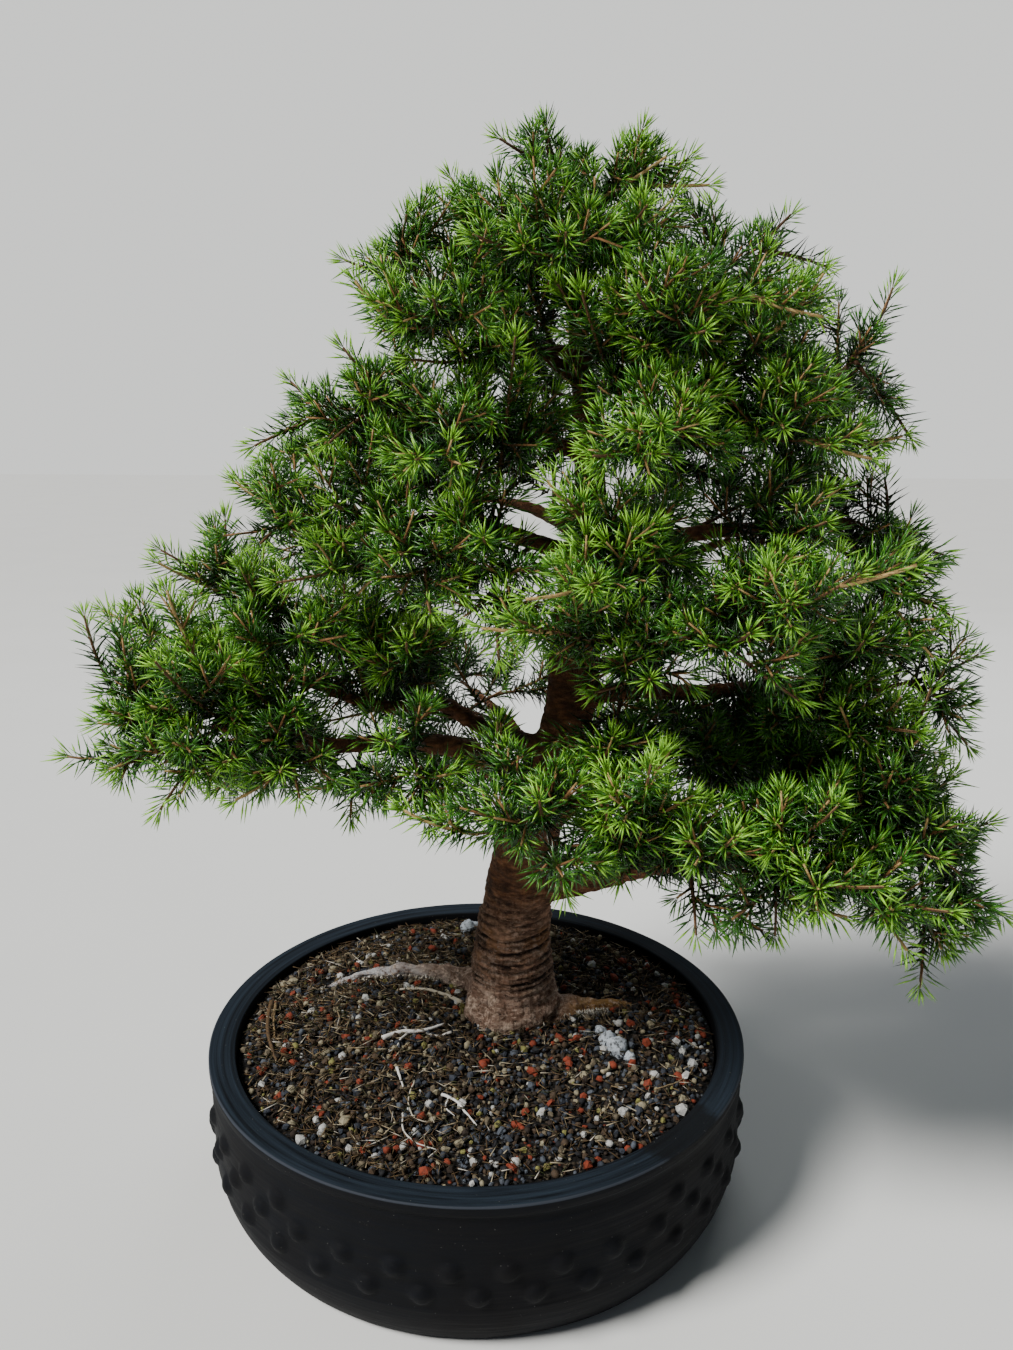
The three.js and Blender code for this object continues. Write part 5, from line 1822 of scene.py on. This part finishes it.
@dataclass
class GrittySoil:
    """The soil: a dark bed, grains of several minerals, fallen needles and scraps of root."""

    edge: float = 0.1434
    edge_height: float = 0.0822
    mound: float = 0.0014
    floor: float = 0.01035
    rings: int = 24
    steps: int = 116
    grains: int = 4800
    grains_reach: float = 0.1408
    needles: int = 8600
    needles_reach: float = 0.1395
    trunk_place: tuple[float, float] = (0.020, 0.022)
    trunk_radius: float = 0.0275

    def height(self, x: float, y: float) -> float:
        """Gives the bed's height at a place.

        Args:
            x: The place's x.
            y: The place's y.

        Returns:
            The height in metres.
        """
        reach = math.hypot(x, y) / self.edge
        rough = 0.0011 * noise.noise(Vector((x, y, 0.0)) * 90)
        rough += 0.0008 * noise.noise(Vector((x, y, 4.0)) * 260)
        return self.edge_height + self.mound * (1 - reach * reach) + rough

    def is_free(self, x: float, y: float, room: float) -> bool:
        """Tells whether a place is clear of the trunk and of the roots that show.

        Args:
            x: The place's x.
            y: The place's y.
            room: The room that it needs.

        Returns:
            True where it is clear.
        """
        if math.hypot(x - self.trunk_place[0], y - self.trunk_place[1]) < self.trunk_radius + room:
            return False
        spot = Vector((x, y))
        for root in ROOTS[:2]:
            route = root.route()
            for step in range(18):
                share = step / 18
                if (route.at(share).xy - spot).length < root.radius(share) * 0.9 + room:
                    return False
        return True

    def build_bed(self, earth: bpy.types.Material) -> None:
        """Spins the bed and roughens its top.

        Args:
            earth: The bed's material.
        """
        top = [(self.edge * (1 - ring / self.rings), self.edge_height) for ring in range(self.rings + 1)]
        section = [(0.0, self.floor), (0.1365, self.floor), (self.edge, 0.050), *top]
        bm = spin_section(section, self.steps)
        for vert in bm.verts:
            if vert.co.z > 0.06:
                vert.co.z = self.height(vert.co.x, vert.co.y) - 0.0006
        keep(to_object("soil_bed", bm, [earth]), "soil", "soil")

    def grain_shapes(self) -> list[bpy.types.Mesh]:
        """Makes the rough grains that are scattered.

        Returns:
            The meshes, about one unit in radius.
        """
        shapes = []
        for seed in range(8):
            bm = bmesh.new()
            bmesh.ops.create_icosphere(bm, subdivisions=1, radius=1.0)
            bm.verts.layers.float.new("tone")
            for vert in bm.verts:
                vert.co *= spread(0.74, 1.18, vert.index, seed, 1)
            size = (1.0, spread(0.7, 1.0, seed, 2), spread(0.55, 0.85, seed, 3))
            bmesh.ops.scale(bm, vec=size, verts=bm.verts)
            shapes.append(to_mesh("grain", bm))
        return shapes

    def build_grains(self, grit: bpy.types.Material) -> None:
        """Scatters the grains over the bed.

        Args:
            grit: The grains' material.
        """
        shapes = self.grain_shapes()
        for half in range(2):
            bm = bmesh.new()
            bm.verts.layers.float.new("tone")
            for index in range(half, self.grains, 2):
                reach = self.grains_reach * math.sqrt((index + 0.5) / self.grains)
                angle = index * GOLDEN_ANGLE
                x = reach * math.cos(angle) + spread(-0.0014, 0.0014, index, 1)
                y = reach * math.sin(angle) + spread(-0.0014, 0.0014, index, 2)
                tone = scatter(index, 9)
                radius = (0.0012 + 0.0019 * scatter(index, 3) ** 1.8) * (1.4 if 0.88 < tone < 0.97 else 1.0)
                if not self.is_free(x, y, radius * 0.4):
                    continue
                axis = Vector((scatter(index, 6) - 0.5, scatter(index, 7) - 0.5, 0.6)).normalized()
                z = self.height(x, y) + spread(-0.1, 0.75, index, 5) * radius
                matrix = (Matrix.Translation((x, y, z))
                          @ Matrix.Rotation(FULL_TURN * scatter(index, 8), 4, axis) @ Matrix.Scale(radius, 4))
                add_copy(bm, shapes[index % 8], matrix, tone=tone)
            grains = to_object(f"soil_grains_{half + 1}", bm, [grit], is_smooth=half == 0, fix_normals=False)
            keep(grains, "soil")

    def build_litter(self, litter: bpy.types.Material) -> None:
        """Lays the fallen needles on the soil, thickest at the left and at the back.

        Args:
            litter: The needles' material.
        """
        needle = NeedleShape(0.0115, 0.00046, 0.0).mesh()
        bm = bmesh.new()
        for name in ("along", "tone", "age"):
            bm.verts.layers.float.new(name)
        for index in range(self.needles):
            reach = self.needles_reach * math.sqrt(scatter(index, 61))
            angle = FULL_TURN * scatter(index, 62)
            x, y = reach * math.cos(angle), reach * math.sin(angle)
            wanted = 0.30 + 0.45 * smooth_step(0.03, -0.07, x) + 0.50 * smooth_step(-0.03, 0.06, y)
            if scatter(index, 63) > wanted or not self.is_free(x, y, 0.001):
                continue
            tilt = math.radians(spread(70, 98, index, 64))
            matrix = (Matrix.Translation((x, y, self.height(x, y) + spread(0.0014, 0.0042, index, 65)))
                      @ Matrix.Rotation(FULL_TURN * scatter(index, 66), 4, "Z")
                      @ Matrix.Rotation(tilt, 4, "Y")
                      @ Matrix.Scale(spread(0.5, 1.15, index, 67), 4) @ Matrix.Translation((0, 0, -0.005)))
            add_copy(bm, needle, matrix, tone=0.93 * scatter(index, 68) ** 1.2)
        keep(to_object("soil_fallen_needles", bm, [litter], fix_normals=False), "soil")

    def build_fringe(self, bm: bmesh.types.BMesh) -> None:
        """Hangs fine white rootlets from the front edges of the two roots that show.

        Args:
            bm: The mesh that they are added to.
        """
        rootlet = NeedleShape(0.0070, 0.00062, 0.3).mesh()
        for root, first, last, count in ((ROOTS[1], 0.28, 0.66, 120), (ROOTS[0], 0.36, 0.84, 60)):
            route = root.route()
            for index in range(count):
                share = first + (last - first) * (index + scatter(index, 71)) / count
                radius = root.radius(share)
                front = UP.cross(route.along(share)).normalized()
                front *= -math.copysign(1.0, front.y)
                raised = UP * (radius * spread(0.1, 0.5, index, 72))
                start = route.at(share) + front * (radius * 0.80) + raised
                heading = front + UP * spread(-1.2, -0.3, index, 73)
                heading += route.along(share) * spread(-0.5, 0.5, index, 74)
                matrix = (Matrix.Translation(start)
                          @ facing(heading.normalized(), FULL_TURN * scatter(index, 75))
                          @ Matrix.Scale(spread(0.5, 1.1, index, 76), 4))
                add_copy(bm, rootlet, matrix, tone=spread(0.90, 0.97, index, 77))

    def build_roots(self, litter: bpy.types.Material) -> None:
        """Lays the bleached rootlets, the dead stem by the rim and the pale stones on the soil.

        Args:
            litter: The scraps' material.
        """
        bm = bmesh.new()
        bm.verts.layers.float.new("tone")
        for knots, radius, shade in SCRAPS:
            points = [Vector((x * MM, y * MM, self.height(x * MM, y * MM) + 0.0022 + 0.0005 * radius))
                      for x, y in knots]
            add_tube(bm, Route.through(points), lambda share, r=radius: MM * r * (1 - 0.55 * share), 7, 16,
                     tone=shade)
        for vert in bm.verts:
            vert.co += 0.0004 * noise.noise_vector(vert.co * 300)
        self.build_fringe(bm)
        for place, radius in STONES:
            x, y = place[0] * MM, place[1] * MM
            stone = bmesh.new()
            bmesh.ops.create_icosphere(stone, subdivisions=3, radius=radius * MM)
            for vert in stone.verts:
                vert.co += 0.0016 * noise.noise_vector(vert.co * 220 + Vector((radius, 0, 0)))
                vert.co += 0.0012 * noise.noise_vector(vert.co * 620)
            height = self.height(x, y) + radius * 0.35 * MM
            add_copy(bm, to_mesh("stone", stone), Matrix.Translation((x, y, height)), tone=1.0)
        keep(to_object("soil_root_scraps", bm, [litter]), "soil")

    def build(self, earth: bpy.types.Material, grit: bpy.types.Material, litter: bpy.types.Material) -> None:
        """Builds the bed, the grains and what lies on them.

        Args:
            earth: The bed's material.
            grit: The grains' material.
            litter: The material of what lies on them.
        """
        self.build_bed(earth)
        self.build_grains(grit)
        self.build_litter(litter)
        self.build_roots(litter)


@dataclass
class Studio:
    """Floor, light and camera."""

    camera_place: Point = (0.0166, -0.5823, 0.4476)
    pitch: float = 13.64
    roll: float = 0.27
    lens: float = 28.14
    backdrop: Colour = (0.885, 0.893, 0.872)
    backdrop_strength: float = 1.13
    ambient: Colour = (0.70, 0.80, 0.92)
    ambient_strength: float = 0.08
    key_place: Point = (-1.7, -0.9, 2.3)
    key_strength: float = 4.9
    key_colour: Colour = (1.0, 0.98, 0.94)
    fill_place: Point = (1.2, -1.0, 1.0)
    fill_power: float = 0.5
    fill_colour: Colour = (0.92, 0.96, 1.0)
    back_place: Point = (0.5, 1.4, 1.4)
    back_power: float = 8.0
    back_colour: Colour = (0.95, 0.98, 1.0)

    def hang(self, data: bpy.types.Light, place: Point, aim: Point) -> None:
        """Hangs a light and points it.

        Args:
            data: The light.
            place: Where it hangs.
            aim: What it points at.
        """
        lamp = bpy.data.objects.new(data.name, data)
        lamp.location = place
        lamp.rotation_euler = (Vector(aim) - Vector(place)).to_track_quat("-Z", "Y").to_euler()
        bpy.context.scene.collection.objects.link(lamp)

    def soft_box(self, name: str, place: Point, aim: Point, size: float, power: float,
                 colour: Colour) -> None:
        """Adds one soft square light.

        Args:
            name: The light's name.
            place: Where it hangs.
            aim: What it points at.
            size: The length of its side.
            power: Its power in watts.
            colour: Its colour.
        """
        data = bpy.data.lights.new(name, "AREA")
        data.shape, data.size, data.energy, data.color = "SQUARE", size, power, colour
        self.hang(data, place, aim)

    def sky(self) -> None:
        """Gives the room a pale backdrop and a dimmer light from all round."""
        world = bpy.data.worlds.new("studio")
        world.use_nodes = True
        nodes, links = world.node_tree.nodes, world.node_tree.links
        around = nodes["Background"]
        around.inputs["Color"].default_value = (*self.ambient, 1.0)
        around.inputs["Strength"].default_value = self.ambient_strength
        behind = nodes.new("ShaderNodeBackground")
        behind.inputs["Color"].default_value = (*self.backdrop, 1.0)
        behind.inputs["Strength"].default_value = self.backdrop_strength
        mixer = nodes.new("ShaderNodeMixShader")
        links.new(nodes.new("ShaderNodeLightPath").outputs["Is Camera Ray"], mixer.inputs["Fac"])
        links.new(around.outputs["Background"], mixer.inputs[1])
        links.new(behind.outputs["Background"], mixer.inputs[2])
        links.new(mixer.outputs["Shader"], nodes["World Output"].inputs["Surface"])
        bpy.context.scene.world = world

    def build(self) -> None:
        """Lays the floor, hangs the lights and sets the camera."""
        board = NodeBoard("pale_floor")
        tone = board.blend(board.grain(6.0, 2.0), (0.80, 0.81, 0.80), (0.85, 0.86, 0.85))
        bm = bmesh.new()
        bmesh.ops.create_grid(bm, x_segments=1, y_segments=1, size=8.0)
        floor = to_object("floor", bm, [board.finish(tone, 0.9)], fix_normals=False)
        self.sky()
        key = bpy.data.lights.new("key", "SUN")
        key.energy, key.angle, key.color = self.key_strength, math.radians(20), self.key_colour
        self.hang(key, self.key_place, (0.0, 0.0, 0.2))
        self.soft_box("fill", self.fill_place, (0.02, 0.0, 0.28), 1.2, self.fill_power, self.fill_colour)
        self.soft_box("back", self.back_place, (0.02, 0.0, 0.35), 1.2, self.back_power, self.back_colour)
        data = bpy.data.cameras.new("viewer")
        data.lens, data.sensor_width = self.lens, 36.0
        data.clip_start = 0.01
        camera = bpy.data.objects.new("viewer", data)
        turn = Matrix.Rotation(math.radians(90 - self.pitch), 4, "X")
        turn = turn @ Matrix.Rotation(math.radians(self.roll), 4, "Z")
        camera.matrix_world = Matrix.Translation(self.camera_place) @ turn
        bpy.context.scene.collection.objects.link(camera)
        bpy.context.scene.camera = camera


def main() -> None:
    """Builds every sub-assembly in order."""
    logging.basicConfig(level=logging.INFO, format="%(name)s: %(message)s")
    noise.seed_set(NOISE_SEED)
    Studio().build()
    DrumPot().build(ClayFinish().material())
    screen_material = MeshPlasticFinish().material()
    for side in ("left", "right"):
        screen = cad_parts[f"drain_screen_{side}"]
        screen.data.materials.clear()
        screen.data.materials.append(screen_material)
    GrittySoil().build(EarthFinish().material(), GritFinish().material(), LitterFinish().material())
    TrunkAndLimbs().build(BarkFinish().material())
    Foliage().build(NeedleFinish().material(), TwigFinish().material())


if __name__ == "__main__":
    main()
